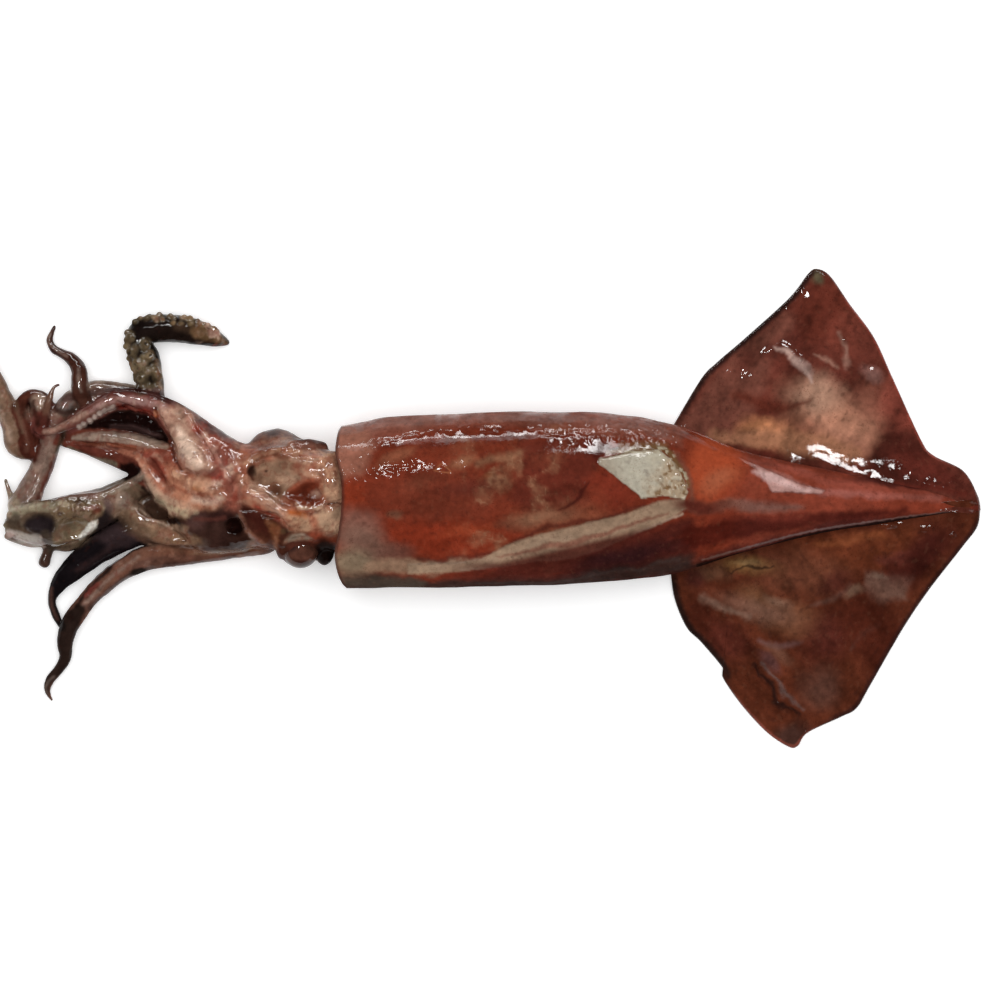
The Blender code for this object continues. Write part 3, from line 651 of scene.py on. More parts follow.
def torn_paint(paint):
    """The torn patch of bare flesh and the marks around it."""
    line, spot = paint.stroke, paint.patch
    spot((.34, .06, .023), (93, 15), (14, 12), 62, .5, .95)
    spot((.33, .105, .052), (95, 9), (7, 4), 20, .8, .6)
    line((.13, .06, .04), ((76, 20), (80, 13), (82.5, 6), (82.6, 0)), (.8, 1.3, 1.4, .9), 1.6, .6)
    line((.15, .07, .034), ((52, 22.6), (60, 23.2), (71, 22.8)), 1.5, 1.3, .85)
    spot((.1, .06, .056), (44.8, 22.4), (3, 2.2), 0, .7, .8)
    spot((.012, .006, .005), (49, 21), (2.6, .8), 5, .5, .9)
    spot((.08, .014, .009), (86, -1.8), (11, 3.2), -6, .6, .9)
    points = paint.points
    rim = inside(paint.steady, TORN_PATCH, .7)
    flesh = inside(paint.steady, TORN_PATCH, .3)
    paint.blend((.115, .058, .026), rim * .85)
    paint.blend((.42, .38, .3), flesh)
    corner = 1 - ramp(points[:, 0] + .4 * points[:, 1], 50, 62)
    paint.blend((.3, .24, .18), corner * flesh * .7)
    rough = ramp(points[:, 0] - .35 * points[:, 1] + 5 * mottle(points, 7, 3, 49), 58, 68) * flesh
    paint.blend((.37, .265, .17), rough * .85)
    paint.flecks((.165, .085, .032), 1.9, 44, .05, .35, rough * .85, 3)
    paint.flecks((.56, .5, .39), 2.2, 45, .1, .5, rough * .6, 3)
    hem = line((.14, .08, .034), ((46, 19.4), (54, 20.4), (62, 21.2), (71, 20.8), (77, 15), (81, 7)),
        (.6, 1.3, 1.5, 1.5, 1, .8), .8, .8)
    paint.flecks((.45, .4, .29), 1.6, 51, .1, .4, hem * .8, 3)
    paint.blend((.48, .43, .32), ramp(streaks(points, 5, -30, 3, 50), 0, .6) * flesh * (1 - rough) * .6)


def cone_paint(paint):
    """The narrow end of the body: its pale wedge, its lower half painted darker, partly its own colour and
    partly painted shade, and a black line of painted shadow along its lower edge.
    """
    line, zone = paint.stroke, paint.area
    zone((.205, .034, .016), ((84, 24), (112, 18), (150, 8), (206, -2), (206, -7), (150, -7), (112, -18),
        (84, -26)), 2.5, .88)
    line((.21, .042, .024), ((104, 19.5), (124, 13.4), (146, 7.6), (170, 4), (200, .6)), 1.8, 1.3, .8)
    line((.29, .085, .06), ((138, 4.6), (156, 2.6), (176, .8), (192, -.8)), 1.3, 1.3, .6)
    line((.15, .066, .046), ((83, -1.5), (100, -2.4), (118, -2.8), (131, -2.6)), (3, 2.4, 1.8, .8), 1.8, .75)
    # the lower half darker: partly its own colour, partly painted shade
    line((.056, .008, .005), ((84, -16), (110, -11.6), (140, -7.4), (175, -5.4)), (6, 4.4, 2.6, 1.4), 2, .92)
    line((.105, .016, .009), ((92, -9), (112, -7.6), (134, -6)), 1.4, 1.4, .6)
    line((.16, .086, .07), ((88, -26), (112, -19.4), (136, -13.4), (174, -7.8), (202, -4.5)), .45, .4,
        .75, steady=True)
    # painted shadow: a black line in the crease where the cone meets the lower fin
    line((.01, .005, .004), ((86, -28.4), (112, -21.6), (136, -15), (174, -8.8), (204, -4.8)), .8, .5,
        .92, steady=True)
    zone((.1, .022, .013), PALE_WEDGE, 1.4, .7, steady=True)
    zone((.4, .19, .146), PALE_WEDGE, .6, .9, steady=True)
    line((.48, .26, .21), ((110, 12.6), (117, 9.6), (125, 6.6), (134, 4.4)), (.8, 2, 1.4, .6), 1.2, .8)
    line((.23, .08, .056), ((111, 15.4), (122, 10.6), (133, 5.8)), .8, .8, .6)


# ---------------------------------------------------------------- the fins
def fin_edge_line(side, columns):
    """Points along a fin's outer edge, evenly spaced."""
    drawn = between(FIN_EDGE[side], np.linspace(0, len(FIN_EDGE[side]) - 1, 400))
    length = np.concatenate(([0], np.cumsum(np.linalg.norm(np.diff(drawn, axis=0), axis=1))))
    share = np.linspace(0, length[-1], columns)
    return np.stack([np.interp(share, length, drawn[:, k]) for k in (0, 1)], axis=1)


def fin(side, material):
    """One fin: a thin sheet of muscle, thick at its root, whose edge lies on the table."""
    edge = fin_edge_line(side, FIN_COLUMNS)
    root = np.stack([
        np.interp(np.linspace(0, 1, FIN_COLUMNS), (0, 1), (FIN_ROOT[side][0][k], FIN_ROOT[side][1][k]))
        for k in (0, 1)
    ], axis=1)
    top = np.linspace(0, 1, FIN_ROWS) ** .92
    flat = root[:, None] + (edge - root)[:, None] * top[None, :, None]
    thick = FIN_EDGE_THICKNESS + (FIN_ROOT_THICKNESS - FIN_EDGE_THICKNESS) * (1 - top) ** FIN_TAPER
    upper = np.concatenate((flat, np.repeat(thick[None, :, None], FIN_COLUMNS, 0)), axis=2)
    ends = np.linspace(0, 1, FIN_COLUMNS)
    close_to_end = np.minimum(1, np.minimum(ends, 1 - ends) * 24)[:, None]
    rim = np.clip((1 - top) * np.linalg.norm(edge - root, axis=1)[:, None], 0, None)
    relief = fin_relief(side, upper.reshape(-1, 3)).reshape(FIN_COLUMNS, FIN_ROWS)
    upper[..., 2] += relief * ramp(rim, .2, 2.5) * close_to_end
    upper[..., 2] *= np.sqrt(np.clip(rim / FIN_RIM_ROUNDING + .12, .12, 1))
    under_share = np.linspace(1, 0, FIN_UNDER_ROWS)
    under = root[:, None] + (edge - root)[:, None] * under_share[None, :, None]
    under = np.concatenate((under, np.zeros((FIN_COLUMNS, FIN_UNDER_ROWS, 1))), axis=2)
    loops = np.concatenate((upper, under), axis=1)
    if side == "left":
        loops = loops[::-1]
    points = loops.reshape(-1, 3)
    faces = grid_faces(FIN_COLUMNS, loops.shape[1], closed_columns=True)
    paint = fin_left_paint(points) if side == "left" else fin_right_paint(points)
    return add_mesh("fin_" + side, points, faces[:, ::-1], material, paint)


FIN_FOLDS = {  # rows of X, Y along a fold, its height and its half width
    "left": ((((112, 60), (122, 66), (129, 60), (135, 51)), 1, 2.4),
        (((134, 92), (139, 80), (142, 66)), .7, 3), (((150, 84), (152, 70), (158, 55), (167, 46)), .8, 3.4),
        (((124, 19), (140, 15), (154, 11), (168, 7.2), (182, 4.4)), 1.95, 6.5),
        (((98, 58), (112, 46), (128, 38)), .6, 4), (((176, 11), (184, 8.6), (194, 5), (204, 2)), .7, 1.6)),
    "right": ((((98, -26), (112, -30), (124, -28)), .8, 2.4),
        (((110, -72), (120, -84), (131, -95)), -.8, 1.2), (((106, -70), (115, -82), (125, -92)), .6, 1.6),
        (((120, -62), (134, -54), (152, -48)), .7, 4), (((90, -44), (104, -50), (126, -52)), .8, 2.4),
        (((128, -19), (142, -17), (156, -15), (174, -11.5), (190, -13.5)), .8, 1.6),
        (((164, -34), (172, -42), (180, -50)), .6, 3),
        (((164.5, -12.2), (168.5, -11.8), (173, -11.2)), .8, 1.3),
        (((183, -13.2), (186, -13), (189, -12.4)), .9, 1.4),
        (((195.4, -16.4), (197.2, -16.1), (199.4, -15.4)), .9, 1.2),
        (((130.5, -19.9), (134, -19.4), (137.4, -18.8)), .7, 1.1),
        (((140.2, -17.8), (142, -17.5), (144, -17.1)), .7, 1)),
}


FIN_RIPPLES = {  # where the skin is finely rippled: centre, radii, turn in degrees, height
    "left": (((152, 16), (22, 4.6), -16, .06), ((163, 55), (6, 3), -20, .46), ((109, 57), (7, 3.4), 40, .42),
        ((124, 83), (7, 2), 42, .46), ((131, 91), (3.4, 2.4), 40, .34), ((127, 64), (7, 2.6), -50, .26),
        ((151, 68), (3, 7), 8, .2), ((184, 9), (12, 2.2), -16, .3), ((199, 5), (6, 2), -20, .34)),
    "right": (((169.6, -11.8), (4, 1.8), 8, .55), ((186, -13.2), (3.4, 2), 0, .6),
        ((197, -16), (3, 1.8), 0, .6), ((134, -19.6), (5, 1.8), 8, .5), ((92, -46), (8, 2.4), -14, .26),
        ((120, -86), (11, 2), -48, .24), ((178, -52), (2.4, 12), 30, .22)),
}


def fin_relief(side, points):
    """Soft waves, folds and the fine fibres of a fin."""
    spots = points[:, :2]
    relief = mottle(points * (1, 1, 0), 30, 2, 51) * .7 + mottle(points * (1, 1, 0), 9, 2, 52) * .12
    bent = spots + mottle(points * (1, 1, 0), 8, 2, 53)[:, None] * 1.2
    for line, height, width in FIN_FOLDS[side]:
        gap, share = away_from_line(bent, smooth_line(line))
        fade = ramp(share, 0, .2) * (1 - ramp(share, .8, 1))
        relief += np.exp(-((gap / width) ** 2)) * height * fade
    relief += streaks(points * (1, 1, 0), 2.2, -15 if side == "left" else 20, 2.5, 54) * .05
    fine = mottle(points * (1, 1, 0), 2.4, 2, 55)
    for centre, radii, turn, height in FIN_RIPPLES[side]:
        angle = math.radians(turn)
        along = (spots - centre) @ (math.cos(angle), math.sin(angle)) / radii[0]
        across = (spots - centre) @ (-math.sin(angle), math.cos(angle)) / radii[1]
        relief += fine * height * np.exp(-(along**2) - across**2)
    return relief


def fin_left_paint(points):
    """The upper fin's skin."""
    paint = Paint(points, (.1, .024, .016), waver=2.2)
    line, spot, zone = paint.stroke, paint.patch, paint.area
    zone((.15, .05, .034), ((74, 30), (100, 62), (124, 82), (132, 78), (120, 62), (112, 40), (104, 26),
        (84, 22)), 3.6, .85)
    spot((.09, .022, .015), (108, 60), (7, 4), 50, .8, .7)
    line((.07, .016, .011), ((118, 64), (128, 72), (134, 84)), (3, 4, 2), 2.6, .8)
    spot((.36, .164, .103), (146, 36), (21, 11), -28, .6, .9)
    spot((.44, .178, .082), (118, 28), (13, 6.5), -15, .5, .9)
    spot((.41, .235, .16), (138, 45), (10, 8), 10, .7, .75)
    spot((.27, .105, .062), (128, 33), (7, 6), 0, .8, .6)
    line((.095, .02, .012), ((104, 44), (116, 41.4), (128, 40.4), (136, 43)), (2, 3.2, 2, .6), 2.2, .85)
    spot((.25, .09, .058), (163, 44), (9, 8), 0, .7, .8)
    spot((.16, .036, .024), (173, 40), (8, 13), 25, .6, .85)
    spot((.107, .023, .014), (141, 83), (13, 15), 0, .45, .9)
    spot((.165, .04, .026), (152, 72), (8, 9), 20, .7, .7)
    spot((.11, .092, .052), (138.4, 97.5), (2.6, 3), 0, .6, .85)
    line((.32, .142, .078), ((96, 27), (118, 25.6), (140, 23), (156, 20)), (3, 4.4, 4.6, 2), 2.6, .85)
    zone((.045, .01, .007), ((163, 24), (172, 31), (184, 25), (190, 17), (206, 4), (186, 5), (168, 8),
        (162, 14)), 3, .9)
    spot((.095, .018, .012), (184, 14), (14, 4.5), -28, .7, .7)
    spot((.19, .062, .036), (124, 18), (9, 2.4), -20, .8, .6)
    line((.43, .285, .24), ((121.5, 68.4), (126, 64), (130, 59.2), (134, 55.1), (135.9, 50.4)),
        (.5, 1.1, 1.6, 1.3, .5), 1.1, .85)
    line((.3, .16, .12), ((148.5, 74), (151, 67), (152, 59.5)), (.4, 1.2, .5), 1.3, .7)
    line((.28, .145, .105), ((136.5, 62.6), (142, 60.4), (148.5, 58.6)), (.4, 1, .5), 1.3, .7)
    # painted highlight: a pale pink spot
    spot((.36, .18, .15), (163, 55), (5, 2.4), -20, .8, .6)
    line((.09, .015, .01), ((100, 24), (122, 17.5), (146, 10.5), (170, 7.5), (204, 1.6)), 1.4, 1.4, .7)
    fin_edge_paint(paint, "left", ((.016, .008, .007), .02, .42, 2.2), ((.2, .04, .026), .5, .86, 1))
    return fin_finish_paint(paint, 61, 62)


def fin_right_paint(points):
    """The lower fin's skin."""
    paint = Paint(points, (.088, .021, .01), waver=2.2)
    line, spot, zone = paint.stroke, paint.patch, paint.area
    zone((.108, .026, .011), ((126, -17), (150, -14), (178, -12), (186, -18), (170, -30), (146, -32),
        (124, -28)), 3.4, .85)
    line((.185, .052, .02), ((138, -19), (152, -17.6), (168, -15.6)), 1.4, 1.8, .7)
    spot((.15, .066, .036), (92, -31), (7, 4), -10, .7, .7)
    spot((.2, .1, .036), (110, -29), (12, 3.6), -8, .6, .85)
    spot((.27, .17, .075), (108, -28.4), (5, 1.4), -8, .8, .6)
    zone((.15, .08, .058), ((160, -33), (172, -31), (180, -33), (178, -44), (166, -47), (159, -41)), 2.2, .8)
    spot((.19, .12, .088), (167, -33.6), (4, 1.4), 10, .8, .6)
    spot((.21, .13, .086), (154, -41), (4, 2.6), 12, .6, .85)
    spot((.13, .032, .022), (171, -25.5), (7, 2), 10, .7, .8)
    spot((.15, .056, .028), (127, -52), (14, 6.5), -12, .6, .85)
    spot((.135, .044, .024), (130, -32), (18, 9), -6, .7, .75)
    spot((.05, .01, .007), (172, -30), (5, 4), 30, .8, .6)
    spot((.165, .075, .036), (112, -42), (8, 4), -20, .8, .6)
    spot((.15, .072, .048), (113, -47.5), (15, 4.4), -16, .7, .8)
    spot((.2, .11, .074), (121, -44), (5, 1.8), -30, .8, .6)
    spot((.07, .015, .011), (143, -60), (11, 9), 40, .7, .8)
    spot((.056, .012, .01), (146, -37), (6, 4), 20, .8, .6)
    line((.13, .066, .05), ((154, -65), (160, -60), (166, -55)), (.5, 1.6, .6), 1.6, .7)
    line((.125, .06, .044), ((136, -46), (146, -43), (152, -38)), (.5, 1.5, .6), 1.6, .6)
    line((.16, .092, .066), ((89, -44.5), (98, -47.6), (108, -50)), (2, 1.2, .6), 1.4, .75)
    spot((.052, .011, .006), (88, -52), (6, 9), 30, .6, .85)
    spot((.054, .011, .006), (164, -60), (12, 22), 33, .45, .88)
    spot((.04, .008, .006), (184, -24), (17, 8), 44, .6, .9)
    line((.12, .058, .052), ((113, -61), (121, -64), (131, -61)), (1, 1.8, .8), 1.6, .75)
    spot((.15, .066, .042), (122, -68), (7, 3), -30, .8, .6)
    spot((.085, .036, .034), (117, -71.6), (6, 2.6), -40, .7, .75)
    line((.016, .007, .006), ((110.4, -72.8), (120.4, -84), (130.3, -94.5)), (.5, 1, .5), .8, .85)
    line((.12, .078, .07), ((113, -72), (123, -82.6), (132, -92)), (.4, .7, .4), .8, .7)
    spot((.095, .042, .03), (140, -82), (9, 8), 40, .7, .7)
    spot((.048, .022, .017), (128, -103), (8, 6), 10, .5, .85)
    spot((.07, .015, .01), (100, -62), (8, 10), 40, .6, .8)
    spot((.04, .01, .008), (86, -34), (5.5, 6), 20, .6, .8)
    line((.016, .008, .006), ((100, -31.5), (106, -29.8), (113, -31), (119, -29.6)), (.3, .6, .4), .5, .75)
    fin_edge_paint(paint, "right", ((.012, .007, .006), 0, .24, 2.6), ((.03, .01, .008), .5, .98, 1.8),
                   ((.19, .05, .034), .28, .46, 1))
    return fin_finish_paint(paint, 66, -55)


def fin_edge_paint(paint, side, *bands):
    """Bands along a fin's edge: colour, where each starts and ends along it, and its width."""
    gap, share = away_from_line(paint.steady, fin_edge_line(side, 60))
    for colour, start, end, width in bands:
        there = ramp(share, start - .03, start + .03) * (1 - ramp(share, end - .03, end + .03))
        paint.blend(colour, (1 - ramp(gap, width * .5, width * 1.5)) * there * .9)


def fin_finish_paint(paint, seed, turn):
    """Fibrous blotches and freckles of a fin, and how wet it is."""
    points = paint.points
    paint.colour *= (1 + .42 * streaks(points, 6, turn, 3, seed)
        + .26 * mottle(points, 3, 3, seed + 1))[:, None]
    paint.blend((.23, .105, .062), speckle(points, 1.4, seed + 2) * .07)
    paint.blend((.03, .009, .007), speckle(points, 1.7, seed + 3) * .3)
    paint.gloss = np.clip(.55 + .5 * mottle(points, 10, 3, seed + 4), .1, 1)
    return paint


# ---------------------------------------------------------------- head and limbs as one flesh
COLLAR_SHADE = ((-76.6, -22, 7), (4.2, 6.4, 7.6))  # flesh that fills the gap between the near eye and the collar, painted black as shade
EYE_SOCKETS = (  # centre, radii
    ((-87.5, -20, 14), (9.6, 9.2, 11.5)), ((-98, 22.4, 10), (11.5, 8.6, 9.6)),
)
FUNNEL_PIT = ((-93, 5.5, 33), (15, 9.5, 7.5))
EYE_CENTRE = (-86.8, -22, 17.6)
EYE_RADIUS = 8.2
FAR = 9  # distance given to points that no form is near
REACH = 4  # how far beyond a form its distances are worked out


def ellipsoid_gap(x, y, z, centre, radii):
    """Distance from the surface of an ellipsoid, about right near it."""
    px, py, pz = x - centre[0], y - centre[1], z - centre[2]
    near = np.sqrt((px / radii[0]) ** 2 + (py / radii[1]) ** 2 + (pz / radii[2]) ** 2)
    steep = np.sqrt((px / radii[0] ** 2) ** 2 + (py / radii[1] ** 2) ** 2 + (pz / radii[2] ** 2) ** 2)
    return near * (near - 1) / np.maximum(steep, 1e-3)


def soft_join(a, b, width):
    """Union of two distances, with a soft crease of that width."""
    part = np.clip(.5 + .5 * (b - a) / width, 0, 1)
    return b + (a - b) * part - width * part * (1 - part)


class Flesh:
    """Distances to the skin on a block of points, from which its surface is drawn."""

    def __init__(self, low, high, step):
        self.low, self.step = np.asarray(low, float), step
        self.counts = np.ceil((np.asarray(high, float) - self.low) / step).astype(int) + 1
        self.gap = np.full(self.counts, FAR, np.float32)
        self.axes = [self.low[k] + step * np.arange(self.counts[k]) for k in range(3)]

    def window(self, low, high):
        """The part of the block between two corners: its slices and its coordinates."""
        slices, coordinates = [], []
        for k in range(3):
            first = int(np.clip((low[k] - self.low[k]) / self.step, 0, self.counts[k]))
            last = int(np.clip((high[k] - self.low[k]) / self.step + 2, 0, self.counts[k]))
            slices.append(slice(first, last))
            shape = [1, 1, 1]
            shape[k] = -1
            coordinates.append(self.axes[k][first:last].reshape(shape).astype(np.float32))
        return tuple(slices), coordinates

    def join_limb(self, rows, flatness=1, blend=LIMB_BLEND):
        """Adds a limb: round cones between points of a smooth line."""
        path = between(rows, np.linspace(0, len(rows) - 1, (len(rows) - 1) * 5 + 1))
        x, y, radius, lift = path.T
        z = lift + radius * flatness
        places = np.stack((x, y, z), axis=1)
        reach = radius.max() + REACH
        slices, (gx, gy, gz) = self.window(places.min(0) - reach, places.max(0) + reach)
        limb = np.full(np.broadcast_shapes(gx.shape, gy.shape, gz.shape), FAR, np.float32)
        corner = [s.start for s in slices]
        for k in range(len(places) - 1):
            start, end = places[k], places[k + 1]
            near = max(radius[k], radius[k + 1]) + 3
            part, (px, py, pz) = self.window(np.minimum(start, end) - near, np.maximum(start, end) + near)
            inner = tuple(slice(s.start - c, s.stop - c) for s, c in zip(part, corner))
            run = (end - start) * (1, 1, 1 / flatness)
            length = max(float(run @ run), 1e-6)
            qx, qy, qz = px - start[0], py - start[1], (pz - start[2]) / flatness
            t = np.clip((qx * run[0] + qy * run[1] + qz * run[2]) / length, 0, 1)
            away = np.sqrt((qx - t * run[0]) ** 2 + (qy - t * run[1]) ** 2 + (qz - t * run[2]) ** 2)
            away = away - (radius[k] + t * (radius[k + 1] - radius[k]))
            limb[inner] = np.minimum(limb[inner], away)
        self.gap[slices] = soft_join(self.gap[slices], limb, blend)

    def join_head(self, stations):
        """Adds the head: oval sections along X, cut square at both ends."""
        stations = np.asarray(stations, float)
        low_x, high_x = stations[:, 0].min(), stations[:, 0].max()
        reach = stations[:, 2].max() + REACH
        slices, (x, y, z) = self.window((low_x - 2, -reach, 0 - 3), (high_x + 2, reach, 36))
        centre, half_width, height = (
            row.reshape(-1, 1, 1) for row in station_at(stations, np.clip(x.ravel(), low_x, high_x))
        )
        half_height = height * HALF_HEIGHT_SHARE
        power = 2 / SECTION_SQUARENESS
        py, pz = y - centre, z - (height - half_height)
        oval = (np.abs(py / half_width) ** power + np.abs(pz / half_height) ** power) ** (1 / power)
        away = np.sqrt(py**2 + pz**2) * (1 - 1 / np.maximum(oval, .05))
        away = np.maximum(away, np.maximum(low_x - x, x - high_x))
        self.gap[slices] = soft_join(self.gap[slices], away.astype(np.float32), LIMB_BLEND)

    def oval(self, centre, radii):
        """The slices round an oval and the distances from it there."""
        reach = np.asarray(radii) + REACH
        slices, (x, y, z) = self.window(np.asarray(centre) - reach, np.asarray(centre) + reach)
        return slices, ellipsoid_gap(x, y, z, centre, radii).astype(np.float32)

    def join_ball(self, centre, radii, blend=3):
        """Adds a ball or an oval bump."""
        slices, ball = self.oval(centre, radii)
        self.gap[slices] = soft_join(self.gap[slices], ball, blend)

    def hollow(self, centre, radii, blend=1):
        """Takes an oval hollow away."""
        slices, ball = self.oval(centre, radii)
        self.gap[slices] = -soft_join(-self.gap[slices], ball, blend)

    def height_at(self, x, y):
        """Height of the skin over a place on the table."""
        column = self.gap[tuple(int(round((v - low) / self.step)) for v, low in zip((x, y), self.low))]
        solid = np.nonzero(column < 0)[0]
        return self.axes[2][solid[-1]] if len(solid) else 0

    def add_ridge(self, rows, blend=1.8):
        """Adds a fold whose crest stands above the skin by the last value of each row."""
        lifted = [(x, y, radius, self.height_at(x, y) + rise - 2 * radius)
                  for x, y, radius, rise in rows if self.height_at(x, y) > 2]
        self.join_limb(lifted, blend=blend)

    def sink(self, x, y, half_length, half_width, depth):
        """Takes an oval dish out of the skin."""
        centre = (x, y, self.height_at(x, y) + depth)
        self.hollow(centre, (half_length / .87, half_width / .87, 2 * depth), 1)

    def rest_on_table(self, dip):
        """Cuts the flesh off flat, a little above its lowest points."""
        z = self.axes[2].reshape(1, 1, -1)
        self.gap = np.maximum(self.gap, (dip - z).astype(np.float32))

    def surface(self):
        """Points and quads of the skin: one point in each cell that the skin passes through."""
        gap = self.gap
        solid = gap < 0
        cells = tuple(n - 1 for n in gap.shape)
        total = np.zeros(cells + (3,), np.float32)
        crossings = np.zeros(cells, np.int16)
        corners = list(itertools.product((0, 1), repeat=3))
        for first in corners:
            for axis in range(3):
                if first[axis]:
                    continue
                second = list(first)
                second[axis] = 1
                a = tuple(slice(c, c + n) for c, n in zip(first, cells))
                b = tuple(slice(c, c + n) for c, n in zip(second, cells))
                where = np.nonzero(solid[a] != solid[b])
                ga, gb = gap[a][where], gap[b][where]
                point = np.tile(np.asarray(first, np.float32), (len(ga), 1))
                point[:, axis] = ga / (ga - gb)
                np.add.at(total, where, point)
                np.add.at(crossings, where, 1)
        used = crossings > 0
        number = np.full(cells, -1)
        number[used] = np.arange(used.sum())
        place = np.stack(np.nonzero(used), axis=1) + total[used] / crossings[used][:, None]
        points = self.low + place * self.step
        faces = []
        for axis in range(3):
            u, v = [k for k in range(3) if k != axis]
            a = [slice(1, -1)] * 3
            b = [slice(1, -1)] * 3
            a[axis], b[axis] = slice(0, -1), slice(1, None)
            change = solid[tuple(a)].astype(np.int8) - solid[tuple(b)]
            where = np.nonzero(change)
            cell = np.stack(where, axis=1)
            cell[:, u] += 1
            cell[:, v] += 1
            ring = []
            for du, dv in ((0, 0), (-1, 0), (-1, -1), (0, -1)):
                spot = cell.copy()
                spot[:, u] += du
                spot[:, v] += dv
                ring.append(number[spot[:, 0], spot[:, 1], spot[:, 2]])
            quad = np.stack(ring, axis=1)
            outward = change[where] > 0
            if axis == 1:
                outward = ~outward
            quad[~outward] = quad[~outward][:, ::-1]
            faces.append(quad)
        return points, np.concatenate(faces)


def point_normals(points, faces):
    """Unit normals of a quad mesh's points."""
    cross = np.cross(points[faces[:, 2]] - points[faces[:, 0]], points[faces[:, 3]] - points[faces[:, 1]])
    normal = np.zeros_like(points)
    for k in range(4):
        np.add.at(normal, faces[:, k], cross)
    return normal / np.maximum(np.linalg.norm(normal, axis=1, keepdims=True), 1e-9)


def relax(points, faces, rounds, strength=.5):
    """Smooths a quad mesh by moving each point towards its neighbours' middle."""
    pairs = np.concatenate([faces[:, [k, (k + 1) % 4]] for k in range(4)])
    pairs = np.concatenate((pairs, pairs[:, ::-1]))
    count = np.bincount(pairs[:, 0], minlength=len(points))[:, None]
    for _ in range(rounds):
        total = np.stack([np.bincount(pairs[:, 0], points[pairs[:, 1], k], len(points))
            for k in range(3)], axis=1)
        points = points + (total / count - points) * strength
    return points


BEADS = ((-183.4, 31.9), (-178, 35), (-173, 38.4), (-168.6, 40.2))
BEAD_COUNT = 8
CLUB_LUMPS = 90
CLUB_RIM_LUMPS = 16


def head_and_arms(material):
    """The head, the funnel, the crown of arms and both tentacles, joined as they grow."""
    flesh = Flesh((-237, -92, -1), (-52, 103, 36), FIELD_STEP)
    flesh.join_head(HEAD_STATIONS)
    for centre, radii in (*EYE_SOCKETS, CHEEK):
        flesh.join_ball(centre, radii)
    for rows in WEBS.values():
        flesh.join_limb(rows, WEB_FLATNESS)
    for rows in LIMBS.values():
        flesh.join_limb(rows)
    flesh.hollow(*FUNNEL_PIT, blend=2)
    for dish in HOLLOWS.values():
        flesh.sink(*dish)
    for rows in RIDGES.values():
        flesh.add_ridge(rows)
    for spot, outward, radius in lumps():
        flesh.join_ball(spot, (radius, radius, radius), blend=.7)
        if radius > 1.7:
            flesh.hollow(spot + outward * radius, (radius * .5,) * 3, blend=.4)
    flesh.join_ball(*COLLAR_SHADE)
    for x, y in between(BEADS, np.linspace(0, len(BEADS) - 1, BEAD_COUNT)):
        flesh.join_ball((x, y, 11.4), (1.1, 1, 1.5), blend=.6)
    chance = np.random.default_rng(29)
    for _ in range(CLUB_LUMPS):  # the rough band along the top of the club
        along, across = chance.uniform(0, 1), chance.uniform(-3.8, 3.8)
        x, y, radius = -196 + 24 * along, -4.4 + across + 2.5 * along, chance.uniform(.6, 1.3)
        flesh.join_ball((x, y, flesh.height_at(x, y) - .3 * radius), (radius,) * 3, blend=.5)
    flesh.rest_on_table(TABLE_DIP)
    points, faces = flesh.surface()
    points = relax(points, faces, 2)
    normals = point_normals(points, faces)
    points = points + normals * flesh_relief(points)[:, None]
    points[:, 2] = np.maximum(points[:, 2], 0)
    middles = points[faces, 0].mean(axis=1)
    return [flesh_piece(name, points, faces[(middles > start) & (middles <= end)], material)
            for name, start, end in FLESH_PIECES]


def lumps():
    """Rough places on the limbs: where each lump stands, its outward direction and its radius."""
    chance = np.random.default_rng(23)
    found = []
    for limb, start, end, count, lean, radius in LUMP_ROWS:
        for k in range(count):
            share = start + (end - start) * (k + chance.uniform(-.3, .3)) / max(count - 1, 1)
            spot, outward = on_limb(limb, share, lean + chance.uniform(-9, 9))
            found.append((spot, outward, radius * chance.uniform(.8, 1.2)))
    up = np.array((0, 0, 1))
    for _ in range(CLUB_RIM_LUMPS):  # the ragged left rim of the club
        along = chance.uniform(0, 1)
        spot = np.array((-214.2 + chance.uniform(-1.2, 1.2), -6 - 10 * along, 9))
        found.append((spot + up * chance.uniform(-3, 3), up, chance.uniform(.9, 1.6)))
    return found


def flesh_piece(name, points, faces, material):
    """One mesh with only the points that its faces use."""
    used, faces = np.unique(faces, return_inverse=True)
    points = points[used]
    return add_mesh(name, points, faces.reshape(-1, 4), material, flesh_paint(points))


FLESH_CREASES = (  # lines on the flesh, their depth and their half width
    (((-75, -1.5), (-72, -.8), (-68.5, -.6)), -1.2, .6),
    (((-108.5, 2.6), (-101, -1.5), (-93.5, -6.5)), .5, .5),
    (((-108.4, 4.5), (-102.6, 2.8), (-97.7, -.3)), .5, .5),
    (((-149.4, 41), (-148.2, 36.6), (-145.2, 30.6), (-142.8, 24.6), (-140.6, 17)), -1.6, .7),
    (((-134, 37), (-132.4, 31.4), (-128.4, 24.2), (-125, 17.4)), -1.1, .6),
    (((-167, 42.2), (-160, 40), (-152, 37.6)), -1, .6),
    (((-186, 24), (-176, 24.4), (-166, 22.6), (-156, 21.6)), -.9, .7),
    (((-89.3, 17.1), (-84.4, 17.3), (-78.6, 16.4)), -.5, .4),
    (((-92, -12), (-96, -8), (-106, -5), (-112, -4)), -.9, .7),
    (((-168, -16.5), (-176, -22), (-184, -28)), -.8, .5),
    (((-158, -23), (-170, -31.5), (-180, -41.5)), -.7, .5), (((-197.5, 22), (-200, 13), (-205, 2)), -.6, .6),
    (((-174, 32.7), (-163, 33.2), (-153, 29.7), (-148, 28.2)), 1.4, 1),
)
LUMP_ROWS = (  # limb, shares along it, count, lean in degrees, radius
    ("arm_hooked", .1, .44, 7, 34, 2.3), ("arm_hooked", .13, .42, 6, -30, 2),
    ("arm_hooked", .16, .4, 5, 2, 1.5), ("arm_hooked", .2, .56, 12, 64, 1.5),
    ("arm_hooked", .56, .9, 12, 58, 1.3), ("arm_hooked", .6, .8, 6, 30, 1),
)


